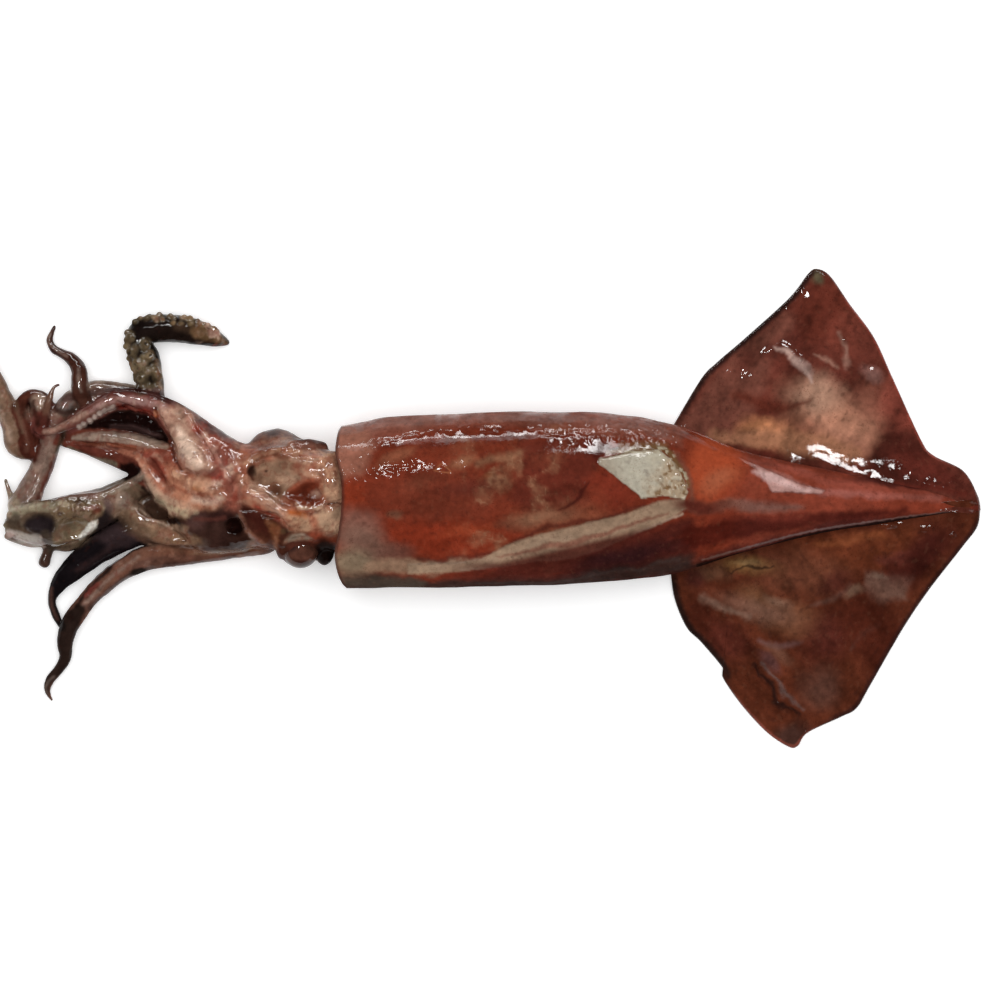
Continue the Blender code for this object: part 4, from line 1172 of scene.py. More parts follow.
def flesh_relief(points):
    """Creases and folds of the head's and limbs' skin."""
    spots = points[:, :2] + mottle(points, 5, 2, 71)[:, None] * .6
    relief = mottle(points, 9, 4, 72) * .34 + grain(points, 2.2, 73) * .12
    above = ramp(points[:, 2], 2, 6)
    for line, depth, width in FLESH_CREASES:
        gap, _ = away_from_line(spots, smooth_line(line))
        relief += np.exp(-((gap / width) ** 2)) * depth * above
    return relief


def limb_line(name):
    """The middle line of a limb, seen from above."""
    return [row[:2] for row in LIMBS[name]]


def limb_widths(name, extra=1.2):
    """The limb's half width along that line."""
    return [row[2] + extra for row in LIMBS[name]]


LIMB_GROUNDS = (  # in the order in which they lie on each other
    ("tentacle_far", (.165, .096, .062)), ("arm_slender", (.045, .018, .014)),
    ("arm_hooked", (.008, .005, .004)), ("tentacle_near", (.165, .105, .08)),
    ("arm_curled", (.062, .016, .01)), ("curl_inner", (.03, .008, .006)), ("arm_long", (.11, .05, .036)),
    ("arm_dark", (.009, .006, .006)), ("club_skirt", (.11, .07, .048)), ("club_near", (.095, .06, .038)),
    ("club_flap", (.3, .25, .21)), ("club_tip", (.06, .03, .022)), ("club_spike", (.2, .15, .105)),
    ("arm_tan", (.15, .092, .062)), ("arm_middle", (.14, .036, .022)),
    ("arm_middle_skirt", (.11, .028, .018)), ("arm_keeled", (.14, .04, .032)),
    ("curl_hook", (.09, .022, .016)),
)


DULL_SPOTS = (  # where the flesh is dry: centre and radius
    ((-151.3, 44.4), 4.5), ((-143, 39.5), 7), ((-187, 25.2), 5), ((-172, -12.4), 8.5), ((-159.4, -21.3), 7),
    ((-151, -22), 5), ((-184, -48), 8),
)


def flesh_paint(points):
    """Colours of the head, the funnel, the arms and the tentacles."""
    paint = Paint(points, (.04, .018, .014), waver=.8)
    for name, colour in LIMB_GROUNDS:
        paint.stroke(colour, limb_line(name), limb_widths(name), .7)
    far_limbs_paint(paint)
    crown_paint(paint)
    club_paint(paint)
    head_paint(paint)
    paint.colour *= (1 + .4 * mottle(points, 4, 4, 75))[:, None]
    light = ramp(paint.colour.sum(axis=1), .12, .4)
    paint.flecks((.44, .31, .235), 3, 79, .1, .5, .26 * light)
    paint.flecks((.13, .034, .024), 3.4, 80, .1, .5, .42 * light)
    veins = 1 - ramp(np.abs(mottle(points, 6, 3, 87)), .02, .1)
    paint.blend((.14, .03, .02), veins * .34 * light)
    paint.blend((.03, .01, .008), speckle(points, 1.8, 77) * .3)
    paint.colour *= 1 - ramp(points[:, 0], -126, -108)[:, None] * (.02, .2, .34)
    for centre, reach in DULL_SPOTS:
        paint.dull += 1 - ramp(np.linalg.norm(points[:, :2] - centre, axis=1), reach * .7, reach)
    crown = ramp(points[:, 0], -156, -140) * (1 - ramp(points[:, 0], -128, -116))
    paint.colour *= 1 + crown[:, None] * (.16, .08, 0)
    paint.gloss = np.clip(.65 + .6 * mottle(points, 8, 3, 78), .1, 1) * (1 - .95 * np.minimum(paint.dull, 1))
    return paint


def far_limbs_paint(paint):
    """The thin ends of the arms and the two stalks."""
    line, spot = paint.stroke, paint.patch
    # the tentacle at the far left: a light edge, a darker face and a dark tip
    line((.3, .2, .145), ((-214, 26), (-217.5, 38), (-222.5, 50), (-228, 60), (-233, 72)), 1.2, 1, .7)
    line((.12, .066, .042), ((-209, 30), (-211, 40), (-216, 51), (-221, 61), (-225.5, 72)), 1, 1, .75)
    line((.09, .042, .03), ((-231, 86), (-227, 92), (-222.6, 97)), 3, 2, .75)
    # the near stalk: grey-pink front, red side, dark where it passes behind
    line((.215, .135, .105), ((-194.5, 33), (-198.2, 24), (-200.5, 14), (-205.5, 4)), 1.9, 1.2, .8)
    line((.05, .036, .022), ((-189.8, 36), (-190.6, 29), (-192.8, 21)), 1.2, 1, .85)
    line((.1, .024, .016), ((-193.6, 18), (-197.6, 8), (-201.6, 0)), 1.1, 1, .9)
    spot((.21, .175, .155), (-189.6, 41.6), (3.4, 4.4), 0, .35, .9)
    line((.26, .195, .155), ((-190, 46.5), (-183, 50.4), (-174, 52.2), (-166, 51.2),
        (-159, 49.4)), .9, .6, .9)
    paint.dull += .8 * line((.075, .036, .03), ((-190, 44), (-180, 46.8), (-168, 47),
        (-158, 46)), 1.9, .9, .9)
    # the slender arm: dark, with a grey streak along its back
    line((.05, .017, .011), limb_line("arm_slender")[1:6], 3.8, .8, .96)
    line((.15, .11, .09), ((-184.2, 57), (-183.8, 52), (-182.4, 48)), .6, .9, .7)
    line((.15, .09, .07), ((-196.6, 74), (-196.4, 68.5), (-193, 65.2), (-188.6, 63.3)), .7, .6, .8)
    # the curled arm: red-brown, paler on the bend, a light hook inside it
    line((.12, .05, .034), ((-206, 22), (-208, 31), (-210, 40)), .7, 1, .7)
    line((.062, .018, .011), ((-208.6, 38), (-207.4, 44.6), (-202, 46.6), (-197.5, 46)), 1.2, .9, .9)
    spot((.33, .23, .17), (-201.2, 42.6), (3.6, 3), -30, .5, .92)
    spot((.19, .1, .072), (-205.6, 37.6), (1.8, 2.8), 10, .7, .8)
    line((.04, .012, .008), ((-203.6, 43), (-202.4, 38), (-201.6, 33.6)), 1, 1, .85)
    line((.13, .062, .04), ((-197.6, 37), (-197, 41), (-196.2, 45), (-195, 48.6)), 1.6, .8, .92)
    spot((.06, .016, .012), (-198.4, 35.6), (3.6, 1.8), 10, .6, .88)
    spot((.24, .15, .115), (-193.8, 36.8), (2, 2.2), 20, .6, .8)
    line((.035, .013, .009), ((-192.4, 38.6), (-189.4, 37.6), (-186, 39.2)), 1.2, 1, .9)
    # the hooked arm: black face, beige lumps with dark holes, olive tip
    paint.dull += .9 * line((.01, .006, .005), ((-157, 76.4), (-150, 76.2), (-141, 75),
        (-131, 72.4)), 4.6, 1, .9)
    line((.04, .024, .016), ((-140, 75.4), (-131, 73.4), (-124, 71)), 2, 1.6, .8)
    for limb_spot, outward, radius in lumps():
        if limb_spot[1] > 46 and limb_spot[0] > -168:
            shade = .35 + .65 * (37 * radius % 1)
            spot(np.array((.2, .142, .08)) * shade, (limb_spot + outward * radius * .4)[:2],
                (radius * 1.1,) * 2, 0, .6, .85)
            if radius > 1.7:
                spot((.01, .006, .005), (limb_spot + outward * radius * .8)[:2],
                    (radius * .34,) * 2, 0, .6, .8)
    line((.105, .062, .032), ((-132, 73.4), (-126, 71.4), (-119.8, 69.2)), (2.8, 2.4, 1.2), 1.2, .9)
    line((.14, .085, .05), ((-146.8, 42), (-148.2, 50), (-149.6, 60)), 1, .7, .8)
    # the long lower arm: pinkish above, plum below, black at places
    line((.15, .066, .042), ((-128, -21), (-149, -21.6), (-157, -23.6), (-166, -31),
        (-176, -39)), 2.4, 1.4, .88)
    line((.23, .15, .118), ((-158, -24.6), (-166, -30.6), (-174, -37.2), (-182, -45.6)), .7, .9, .75)
    line((.06, .034, .028), ((-152, -30.6), (-163, -33.8), (-171, -39.4), (-179, -47.4)), 1.2, 1, .85)
    paint.dull += .8 * line((.009, .006, .005), ((-184, -48), (-188, -54), (-190.1, -61.8), (-190, -68.2),
        (-192, -73), (-197, -79), (-198, -84)), (3, 5, 4.6, 3.4, 3, 2.2, 1.4), 1.2, .9)
    line((.012, .006, .005), ((-169.6, -29.6), (-174.2, -33.4), (-180.4, -39.6), (-185, -46)), .9, .8, .9)
    line((.15, .034, .026), ((-180.6, -41.2), (-178.2, -38.4), (-175.2, -36.4)), .9, .8, .85)
    line((.052, .026, .022), ((-116, -26), (-130, -27.6), (-146, -28.4)), 1.6, 1, .8)
    paint.dull += spot((.008, .006, .005), (-158.4, -31.2), (3.6, 1.4), 12, .35, .95)
    line((.15, .105, .088), ((-194.8, -77.4), (-197.6, -81), (-197.8, -85)), .6, .8, .6)
    # the dark arm, dull black
    paint.dull += .85 * line((.007, .005, .006), limb_line("arm_dark")[1:6], 6.4, 1.2, .9)
    line((.026, .014, .014), ((-160, -15.4), (-172, -22), (-184, -30.2)), 1.2, 1.4, .7)
    line((.075, .036, .028), ((-195.6, -39), (-196.4, -46), (-194, -52)), .7, .8, .8)


def crown_paint(paint):
    """The roots of the arms round the mouth, with the dark hollows between them painted black as shade."""
    line, spot, zone = paint.stroke, paint.patch, paint.area
    # the black of the painted shade in the cavities, gaps and hollows
    black = (.008, .0028, .0024)
    # the plum back edge and the keeled arm: dark crest, pink band, red lower edge
    line((.085, .048, .046), ((-150, 46.2), (-140, 42.4), (-131, 36.2), (-123.6, 29.6),
        (-113, 26)), 2.4, 1, .9)
    line((.04, .012, .01), ((-168, 47.6), (-160, 47.8), (-150, 45.4), (-144, 42.6)), 1.3, .7, .9)
    line((.15, .07, .052), ((-168, 44), (-178, 39.6), (-186, 34.6), (-194, 31.2)), 2.6, 1, .85)
    line((.31, .17, .15), ((-146, 40.6), (-153, 42), (-160.4, 43.6), (-168, 44), (-174, 41.8), (-180, 38.4)),
        (1.2, 1.5, 1.8, 1.5, 1.2, .9), .9, .9)
    line((.27, .15, .112), ((-180, 38.2), (-186, 34), (-193, 31), (-199, 30.2)), 1, .8, .9)
    line((.11, .03, .024), ((-158, 45.4), (-168, 46.4), (-176, 43.2), (-182, 39.2)), .8, .8, .8)
    line((.21, .024, .014), ((-149, 37), (-153, 37.6), (-160.4, 39.5), (-166, 41)), .8, .7, .9)
    spot((.43, .105, .03), (-150, 37.6), (1.2, 1.5), 10, .35, .95)
    # the cavity painted black as shade, the strip inside it painted as an arm's side in shade, and the row of
    # white beads at its upper edge
    paint.dull += zone(black, ((-182, 32.4), (-175.5, 35.6), (-168.5, 38.9), (-162.9, 38.7), (-155.4, 36.7),
        (-149.4, 34.7), (-145.6, 28.7), (-142.8, 24), (-147.9, 25.4), (-155.4, 28.2), (-162.9, 30.2),
        (-170.5, 31.4), (-178, 30.9)), 1, .98)
    for x, y in between(BEADS, np.linspace(0, len(BEADS) - 1, BEAD_COUNT)):
        spot((.4, .31, .265), (x, y), (1.3, 1.1), 35, .4, .9, steady=True)
    line((.05, .026, .024), ((-170, 32.2), (-161, 32.2), (-153, 29.6), (-147.6, 28.2)),
        (.6, 1.1, 1.1, .6), .8, .8)
    # the middle arm: cream band, red outer part with its pale fringe
    line((.25, .18, .138), ((-186, 27.2), (-179, 28), (-170.5, 27.8), (-163, 27.2), (-153, 25.4),
        (-145.4, 23.4)), (1, 1.7, 2.4, 2.6, 2.2, 1.4), .7, .92)
    line((.25, .075, .04), ((-184, 25), (-174, 24.2), (-163, 23.2), (-152, 21.6)), .8, .7, .85)
    line((.12, .03, .02), ((-185, 24.4), (-178, 22.2), (-170.5, 19.9), (-163, 18.8)), 1.9, 1, .9)
    line((.26, .12, .088), ((-176, 23.6), (-169, 21.8), (-162, 20.6)), .5, .7, .7)
    line((.15, .125, .085), ((-188, 22.4), (-183, 20.2), (-178, 18.2), (-173, 16.7),
        (-167.9, 15.2)), .9, .7, .9)
    zone((.215, .052, .034), ((-158, 21.6), (-150, 21.6), (-141.6, 20.6), (-139.6, 13), (-143, 6), (-149, 8),
        (-153, 14)), 1.8, .92)
    line((.3, .11, .07), ((-150, 19.6), (-145.6, 15), (-142.6, 9)), .9, .7, .7)
    line((.085, .014, .009), ((-152, 18.4), (-147.6, 13), (-144.4, 6.8)), .5, .5, .8)
    # painted shade: black in the gap beside the middle arm
    paint.dull += zone(black, ((-166, 16), (-160, 16.4), (-156.4, 14.2), (-155.6, 9.4), (-160, 6.8),
        (-166, 9.6)), 1, .97)
    # the hollow below the keel, painted dark with black at its deepest as shade, and the salmon keel itself
    paint.dull += .8 * zone((.044, .022, .014), ((-157.2, 4.3), (-150.7, 4.3), (-143.7, -1.2), (-138, -5.7),
        (-136.7, -9.2), (-143.7, -10.7), (-150.7, -9.2), (-155.2, -5.2)), .8, .92)
    line(black, ((-155.4, 5.6), (-150.4, 2.4), (-145, -2.6), (-139.6, -6.6)), .8, .6, .85)
    spot(black, (-142.6, -9.2), (2.4, 1.2), 0, .35, .9)
    line((.35, .13, .08), ((-166.2, 21), (-158.7, 19.6), (-155.2, 16.3), (-152.9, 11.3), (-150.4, 7.6)),
        (.8, 1.6, 2, 2.1, 1.6), .6, .95)
    zone((.42, .27, .19), ((-154.8, 15), (-150, 9.9), (-143.7, 4.9), (-135.2, 2.3), (-131.6, -5),
        (-136, -8.2), (-142.6, -6.6), (-148.9, -1.4), (-153.4, 6), (-156, 12)), 1.5, .93)
    line((.37, .3, .205), ((-149, .8), (-143.4, -3.2), (-136.6, -6.2), (-132.4, -6.6)), 1.6, 1, .85)
    line((.38, .13, .08), ((-153.6, 12.4), (-149.4, 7.6), (-143.8, 3.4), (-138, 1.4)), 1.3, 1.4, .8)
    line((.46, .23, .15), ((-158, 18), (-154.6, 13.8), (-152.2, 9.6)), .5, .5, .8)
    # orange skin, then the big cream mass over it
    zone((.34, .155, .098), ((-143.7, 16), (-136.2, 13), (-128.7, 9.3), (-119.7, 7.3), (-117.2, -.2),
        (-124.2, -4.7), (-133.7, -4.6), (-140.7, 1), (-144.2, 7.3)), 2.4, .9)
    line((.48, .36, .29), ((-133, .2), (-127, -1), (-121, .6)), 1.4, 1.6, .8)
    spot((.4, .15, .06), (-131.6, 6.4), (2.6, 2), 0, .9, .8)
    line((.43, .24, .155), ((-141, 11.6), (-135, 8.6), (-128, 4.8)), 1.4, 1.2, .85)
    spot((.44, .26, .18), (-126.6, 6.4), (4, 2.2), -25, .7, .75)
    line((.19, .05, .03), ((-141.4, 6.4), (-135.4, 3.4), (-129.6, 2)), .6, .9, .7)
    zone((.37, .225, .17), ((-149, 39.6), (-147.5, 35.3), (-144, 30.8), (-141.7, 26.3), (-140.5, 20.3),
        (-139, 16.3), (-136, 13.6), (-129, 10.8), (-123.7, 13.8), (-124.7, 17.3), (-128.2, 24.3),
        (-132, 31.3), (-133.7, 37.3), (-140.7, 41)), 1.6, .95)
    line((.6, .46, .38), ((-140, 31), (-137, 26), (-134.4, 21), (-131, 16.4)), (1.2, 3, 3.6, 2.6), 1.8, .9)
    line((.26, .13, .105), ((-138, 38.6), (-134, 33), (-129, 26.6)), 1.2, 1.3, .75)
    # painted shade: a dark line in the crease along the mass's edge
    line((.055, .014, .01), ((-150.2, 40), (-148.6, 35), (-145, 30), (-142.8, 25.4), (-141.2, 18.6),
        (-138.4, 13.6)), .6, .5, .85)
    # red skin between the mass and the head, with its folds
    zone((.25, .085, .062), ((-131, 34), (-126, 28.4), (-118, 25), (-111.6, 21.3), (-110.2, 13.3),
        (-111.4, 4.3), (-113, -5), (-119, -5), (-120, 4.3), (-122.4, 11.3), (-126, 20)), 2.6, .85)
    at_crown = (ramp(paint.points[:, 0], -134, -126) * ramp(-paint.points[:, 0], 108, 112)
        * ramp(paint.points[:, 1], -4, 2))
    paint.flecks((.52, .37, .3), 5, 88, .1, .7, .75 * at_crown)
    paint.flecks((.21, .036, .026), 4.6, 89, .15, .7, .65 * at_crown)
    spot((.25, .04, .026), (-131.2, 30.6), (1.6, 2.6), 55, .8, .8)
    line((.4, .22, .18), ((-126, 24), (-121, 16.6), (-117, 9.6)), 1, 1.1, .7)
    line((.11, .022, .016), ((-122.6, 21), (-118.6, 14), (-115.4, 8.4)), .4, .8, .7)
    line((.3, .13, .1), ((-116.4, 20), (-112.8, 13), (-111, 7)), .8, .6, .7)
    # plum web below, with the gap painted black as shade; the tan arm, with a pale painted highlight along
    # its shiny rim
    zone((.026, .01, .009), ((-134.4, -6.7), (-119.7, -5), (-113.2, -6.6), (-107.4, -16.7), (-111.7, -22.3),
        (-128.7, -22.3), (-136, -14)), 1.5, .93)
    spot((.085, .044, .04), (-131.6, -10), (3.6, 3.4), 0, .8, .7)
    spot((.11, .078, .066), (-131.6, -18.6), (4, 1.8), 4, .8, .7)
    line((.085, .028, .022), ((-132, -8.6), (-125, -9), (-120, -8)), .8, .8, .7)
    # painted shade: black in the gap
    paint.dull += spot(black, (-115, -11.6), (4.8, 3.5), -38, .35, .97)
    line((.16, .095, .058), ((-168, -4), (-160.4, -8.4), (-154, -13.4), (-143, -16.6), (-131, -17.4)),
        (2.6, 4, 3.4, 2.8, 1.2), 1.6, .85)
    line((.27, .165, .105), ((-160, -5.6), (-155, -9.6), (-149, -13.4), (-140, -15.4)), .8, 1.3, .7)
    spot((.23, .17, .135), (-164.6, -.6), (2.4, 3.4), -20, .7, .7)
    line((.055, .03, .02), ((-166, -8.6), (-161, -13), (-153.6, -16.6)), 1.3, 1.4, .8)
    line((.075, .036, .024), ((-167, -12), (-158, -16.4), (-146, -19.6), (-132, -20)), .9, .8, .8)
    # painted highlight: the pale line along the rim
    line((.29, .205, .15), ((-162, -3), (-157.4, -3.9), (-154.2, -6.9), (-150.8, -9.5),
        (-143, -12.2)), .5, .4, .9)


def club_paint(paint):
    """The swollen end of the tentacle: a dark oval mouth, a rough tan band and pale flaps."""
    line, spot, zone = paint.stroke, paint.patch, paint.area
    points = paint.points
    line((.19, .105, .082), ((-193.5, 2), (-183, 3), (-171.5, 2.2)), (1.6, 2.4, 1.4), 1.2, .92)
    line((.3, .19, .15), ((-200, 2), (-195, 2), (-190.6, 3.2)), .6, .7, .7)
    line((.2, .15, .112), ((-173, 1.8), (-166.4, 4.9), (-161.4, 7.2), (-156, 10.4)), 1.5, .8, .85)
    # painted shade in the gap between the club and the body: dark, with a bluish spot and a black one
    paint.dull += .6 * zone((.03, .018, .019), ((-180, -7), (-176, -3.4), (-172, -3.6), (-168, -9),
        (-162, -14), (-158, -17), (-162, -20), (-170, -20), (-181, -15)), 2, .92)
    spot((.075, .046, .052), (-170.4, -2.6), (2.4, 3.2), 20, .7, .6)
    spot((.012, .008, .008), (-173.4, -8.4), (2.6, 4.6), -25, .6, .85)
    # the olive sheet, its white corner and its dark hem
    zone((.18, .13, .08), ((-194, -7.3), (-184, -8.4), (-175.5, -8.6), (-176.5, -12.8), (-181, -16.3),
        (-184, -20.6), (-190, -21.6), (-195, -20.6)), 1.1, .92)
    spot((.11, .074, .044), (-188.8, -12), (2.4, 3.4), 15, .8, .7)
    line((.07, .046, .03), ((-195, -20.6), (-189, -21.4), (-183, -18.8)), 1, .9, .8)
    zone((.5, .47, .41), ((-184.8, -16.6), (-181.6, -13.2), (-177.6, -9.8), (-175.2, -8.9), (-175.8, -11.8),
        (-180, -15), (-183.2, -17.4)), .8, .95)
    line((.66, .64, .58), ((-182.8, -15.6), (-179.6, -12.6), (-176.8, -10.4)), .8, .7, .85)
    # the rough band: brown, with cream flesh torn open in it and a rosy painted highlight
    zone((.15, .098, .055), ((-196, -1), (-188, .4), (-178, .4), (-172.6, -1), (-172.8, -5.4), (-177, -8.8),
        (-186, -9), (-195, -8.2)), 1.3, .93)
    rough = ramp(-np.hypot((points[:, 0] + 184) / 13, (points[:, 1] + 3.8) / 5), -1.1, -.7)
    paint.flecks((.33, .25, .16), 3.6, 81, 0, .6, .8 * rough)
    paint.flecks((.055, .024, .013), 2.8, 82, .05, .55, .85 * rough)
    # painted highlight: the rosy spot
    spot((.42, .26, .22), (-177.6, -3.2), (3.2, .9), 6, .7, .75)
    spot((.095, .022, .014), (-175, -4.4), (1.8, 1.4), 30, .7, .8)
    spot((.4, .33, .23), (-191, -1.6), (2.6, 1.2), -15, .7, .7)
    # the ledge over the mouth, the pale flap under it and the mouth's walls
    line((.25, .205, .135), ((-215.6, -5.8), (-209.4, -4.2), (-202.3, -2.7), (-195, -2.4)), 2, .9, .93)
    line((.36, .31, .225), ((-212.6, -4.6), (-206, -3), (-199, -1.4)), .6, .8, .7)
    line((.14, .105, .07), ((-215.8, -6.6), (-216.6, -10.6), (-215.4, -14)), 1.8, .9, .92)
    zone((.4, .345, .3), ((-215.4, -13.6), (-211, -14.4), (-204, -15.2), (-199.6, -15.6), (-199, -20.4),
        (-205.5, -20.8), (-211, -17.8)), .9, .94)
    spot((.56, .44, .4), (-212.6, -14.6), (2, 1.3), -10, .7, .7)
    paint.dull += zone((.016, .011, .013), ((-208, -11.6), (-206.4, -7.8), (-201, -6.4), (-195, -6.8),
        (-193.6, -11), (-194.6, -16), (-198, -16.2), (-205, -13.8)), 2, .96)
    spot((.05, .034, .024), (-211.6, -9.6), (2.8, 2.8), 0, .8, .8)
    line((.11, .08, .056), ((-212.6, -8.4), (-209.4, -9), (-207.8, -12)), .6, .8, .6)
    line((.06, .042, .03), ((-197.6, -14.6), (-196, -18), (-196.6, -21.6)), 1.8, 1.2, .85)


CHEEK = ((-100.5, -9, 12), (9.6, 10.5, 12))


def head_paint(paint):
    """The head between the collar and the crown: skin, funnel, cheek and the folds round them."""
    line, spot, zone = paint.stroke, paint.patch, paint.area
    points = paint.points
    zone((.29, .128, .092), ((-116, 25), (-106, 25), (-92, 23), (-66, 21), (-60, 0), (-66, -20), (-92, -12),
        (-110, -4), (-114, 8)), 1.8, .92)
    # bulge over the far eye, and the flap beside it
    zone((.13, .068, .06), ((-110.4, 24.6), (-104.2, 31.5), (-95, 31.5), (-90, 28), (-75, 27), (-70, 23.4),
        (-79, 21.8), (-92, 22.8), (-104, 21.8)), 1.4, .92)
    spot((.046, .026, .026), (-99, 29.4), (4.4, 2), -8, .8, .8)
    spot((.3, .185, .15), (-94.6, 25.4), (4.2, 1.8), -10, .8, .75)
    line((.25, .13, .105), ((-108.4, 23.6), (-102, 24.6), (-96, 24.2)), 1, 1, .7)
    line((.06, .026, .024), ((-89, 25.8), (-82, 25.6), (-76.4, 24.6)), .7, .7, .85)
    line((.2, .098, .08), ((-89, 23.4), (-82.4, 23.2), (-77, 22.4)), 1.2, 1, .8)
    line((.42, .27, .2), ((-111.1, 15.1), (-106.4, 18.6), (-97.7, 21), (-92.4, 21.4), (-86.6, 20.8),
        (-75.5, 20.2), (-66, 20.4)), 1.1, 1.1, .85)
    line((.15, .06, .04), ((-108.4, 16), (-103, 18.6), (-96, 19.2), (-90.6, 18.4)), .6, .8, .8)
    # the pit of the funnel, with a painted shadow in it
    zone((.235, .168, .128), ((-108.6, 13.9), (-103.1, 16.6), (-96.9, 18), (-90, 17.2), (-86.4, 13),
        (-87.4, 7.4), (-92.3, 2), (-98.6, .6), (-106.8, 5.6)), 1.6, .94)
    spot((.33, .245, .195), (-91.3, 8.4), (4.4, 4), -30, .7, .85)
    spot((.3, .215, .165), (-101.6, 12.8), (4, 2.2), 12, .8, .6)
    # painted shadow beside the pale mound
    spot((.07, .026, .016), (-97.6, 4.6), (2.4, 3.6), 24, .7, .9)
    spot((.12, .058, .04), (-104.6, 9), (2, 3), 20, .8, .6)
    line((.06, .02, .014), ((-107, 8.6), (-108.6, 11.4), (-107.2, 14.6)), .8, .8, .85)
    spot((.014, .006, .005), (-107.8, 12.6), (1.6, 2.8), 10, .6, .92)
    spot((.045, .02, .016), (-101.7, 12.4), (.8, .7), 0, .5, .85)
    line((.42, .3, .25), ((-107.4, 5.6), (-102.4, 2.8), (-97.4, -.2)), 1.5, 1.2, .85)
    # pink flesh with a pale painted highlight along its top, the dark red wrap and the mauve well in it
    zone((.45, .28, .215), ((-91.4, 19.2), (-84, 20), (-77, 19.6), (-76, 11.4), (-81, 9.4), (-86.1, 9.8),
        (-88.9, 14.4)), 2, .93)
    spot((.26, .075, .05), (-88.4, 14), (2.6, 1.8), 20, .8, .7)
    spot((.33, .12, .085), (-81.6, 13.4), (3, 1.4), -10, .8, .65)
    # painted highlight: the pale line along the top of the pink flesh
    line((.6, .46, .39), ((-90, 18), (-84.6, 16.6), (-78, 17.6)), .8, 1, .75)
    zone((.125, .026, .014), ((-93.4, 2.6), (-88.4, 7.6), (-81.7, 9.4), (-76.9, 8.2), (-77.4, 3.6),
        (-77.2, -2.2), (-84.4, -3.8), (-91.6, -2.4)), 1.9, .94)
    spot((.06, .013, .008), (-85.6, 3.8), (4, 2), 35, .8, .75)
    line((.26, .08, .05), ((-91.6, 4), (-87, 7.6), (-81.6, 9.2)), .8, 1, .75)
    spot((.3, .215, .19), (-79.7, 2.6), (2.2, 1.9), 0, .7, .85)
    # cream pads beside the collar
    zone((.56, .4, .3), ((-77, 19.4), (-70, 20.4), (-62, 18), (-60, 0), (-68.4, -.2), (-71.9, -1.4),
        (-75.5, .6), (-77.4, 5.4), (-75.8, 11)), 1.7, .94)
    spot((.47, .28, .205), (-73.6, 16.4), (3.4, 2.6), 0, .8, .7)
    line((.3, .155, .105), ((-76.6, 12), (-77.4, 6), (-75, 0)), .6, .9, .6)
    zone((.45, .345, .265), ((-79.1, -5.4), (-75.5, -2.6), (-68.4, -2.9), (-60, -6), (-62, -14), (-69.3, -14),
        (-74.7, -14.2), (-79.1, -11)), 1.5, .94)
    zone((.44, .31, .225), ((-92.2, -6.4), (-86.4, -6.6), (-79.6, -6.2), (-79.2, -11.8), (-83.4, -14.2),
        (-91.4, -13.4)), 1.6, .92)
    spot((.43, .15, .1), (-80.8, -9.6), (1.4, 3), 12, .8, .75)
    # painted highlight: the pale line along the lip
    line((.56, .45, .37), ((-88, -2.2), (-85.3, -3.8), (-81.3, -4.1), (-77.7, -3), (-75.6, -1.7)), .6, .6, .9)
    # painted shade: a black line in the crack between the pads
    line((.03, .008, .006), ((-74.6, -1.8), (-71.4, -1.3), (-66, -1.7)), .35, .3, .9, steady=True)
    line((.42, .13, .04), ((-93, -5.6), (-88.5, -5.6), (-84.6, -6.8)), 1, 1.1, .85)
    # pink band with a paler painted highlight along it, dark fold and cheek on the side of the near eye
    line((.43, .28, .23), ((-108.4, 2.4), (-104, .8), (-98.6, -2), (-94, -5.6)), 1.9, 1.1, .9)
    # painted highlight: the paler line along the band
    line((.56, .43, .38), ((-107.6, 3.2), (-102.6, 1.6), (-98.4, -.8)), .7, .8, .75)
    paint.dull += .6 * zone((.042, .011, .009), ((-112, -2.4), (-104, -4.6), (-97, -7.8), (-93.6, -12),
        (-94.6, -24), (-99, -22.6), (-104.6, -18), (-109.8, -11.9)), 1.3, .94)
    line((.19, .03, .022), ((-105.4, -3.2), (-100.2, -5.4), (-96, -8.2)), .7, .9, .85)
    spot((.095, .04, .026), (-101.6, -18), (4.4, 2.6), -40, .8, .6)
    line((.26, .115, .06), ((-100.4, -9.2), (-97.6, -12.6), (-96.6, -17), (-96.6, -21)),
        (1, 2, 1.6, .8), 1.6, .8)
    line((.19, .095, .078), ((-111.6, 8), (-112.6, 0), (-111.6, -7), (-108.4, -14.2),
        (-101.6, -19.8)), .8, 1, .7)
    line((.13, .085, .052), ((-94.4, -13.5), (-94, -19), (-93.8, -24.6)), 1, 1, .8)
    # round the eye: its lid, the dark skin beyond it, red flesh, a pale crescent that is a painted highlight,
    # and the gap by the collar painted black as shade
    zone((.06, .02, .015), ((-96, -15), (-90, -14.2), (-80, -14.4), (-74, -20), (-76, -30), (-88, -32.6),
        (-97, -28)), 1.2, .9)
    line((.12, .055, .04), ((-93.4, -18.6), (-91, -14.8), (-85.4, -13.8), (-80, -15.4)), .8, .8, .85)
    line((.185, .048, .03), ((-80.4, -15.8), (-75, -17.6), (-66, -18.4)), 2.6, 1.4, .92)
    # painted highlight: the pale crescent over the eye
    line((.27, .225, .19), ((-92.6, -18), (-89.6, -16.4), (-85.5, -15.9), (-81.6, -16.8)),
        (.6, 1.5, 1.5, .7), .9, .9)
    # painted shade: black where the flesh fills the gap by the collar
    paint.dull += spot((.008, .005, .005), (-76, -23), (4.6, 6.4), 0, .35, .96)
    line((.05, .018, .015), ((-97, -28.4), (-88, -31), (-80, -28.4)), 1.6, 1.2, .85)
    # torn membranes: cream and red flecks, strongest where the skin is light
    at_neck = ramp(points[:, 0], -124, -112)
    light = ramp(paint.colour[:, 0], .16, .34) * at_neck
    paint.flecks((.54, .4, .32), 5, 84, .1, .7, .34 * light)
    paint.flecks((.23, .055, .036), 4, 85, .1, .6, .5 * light)


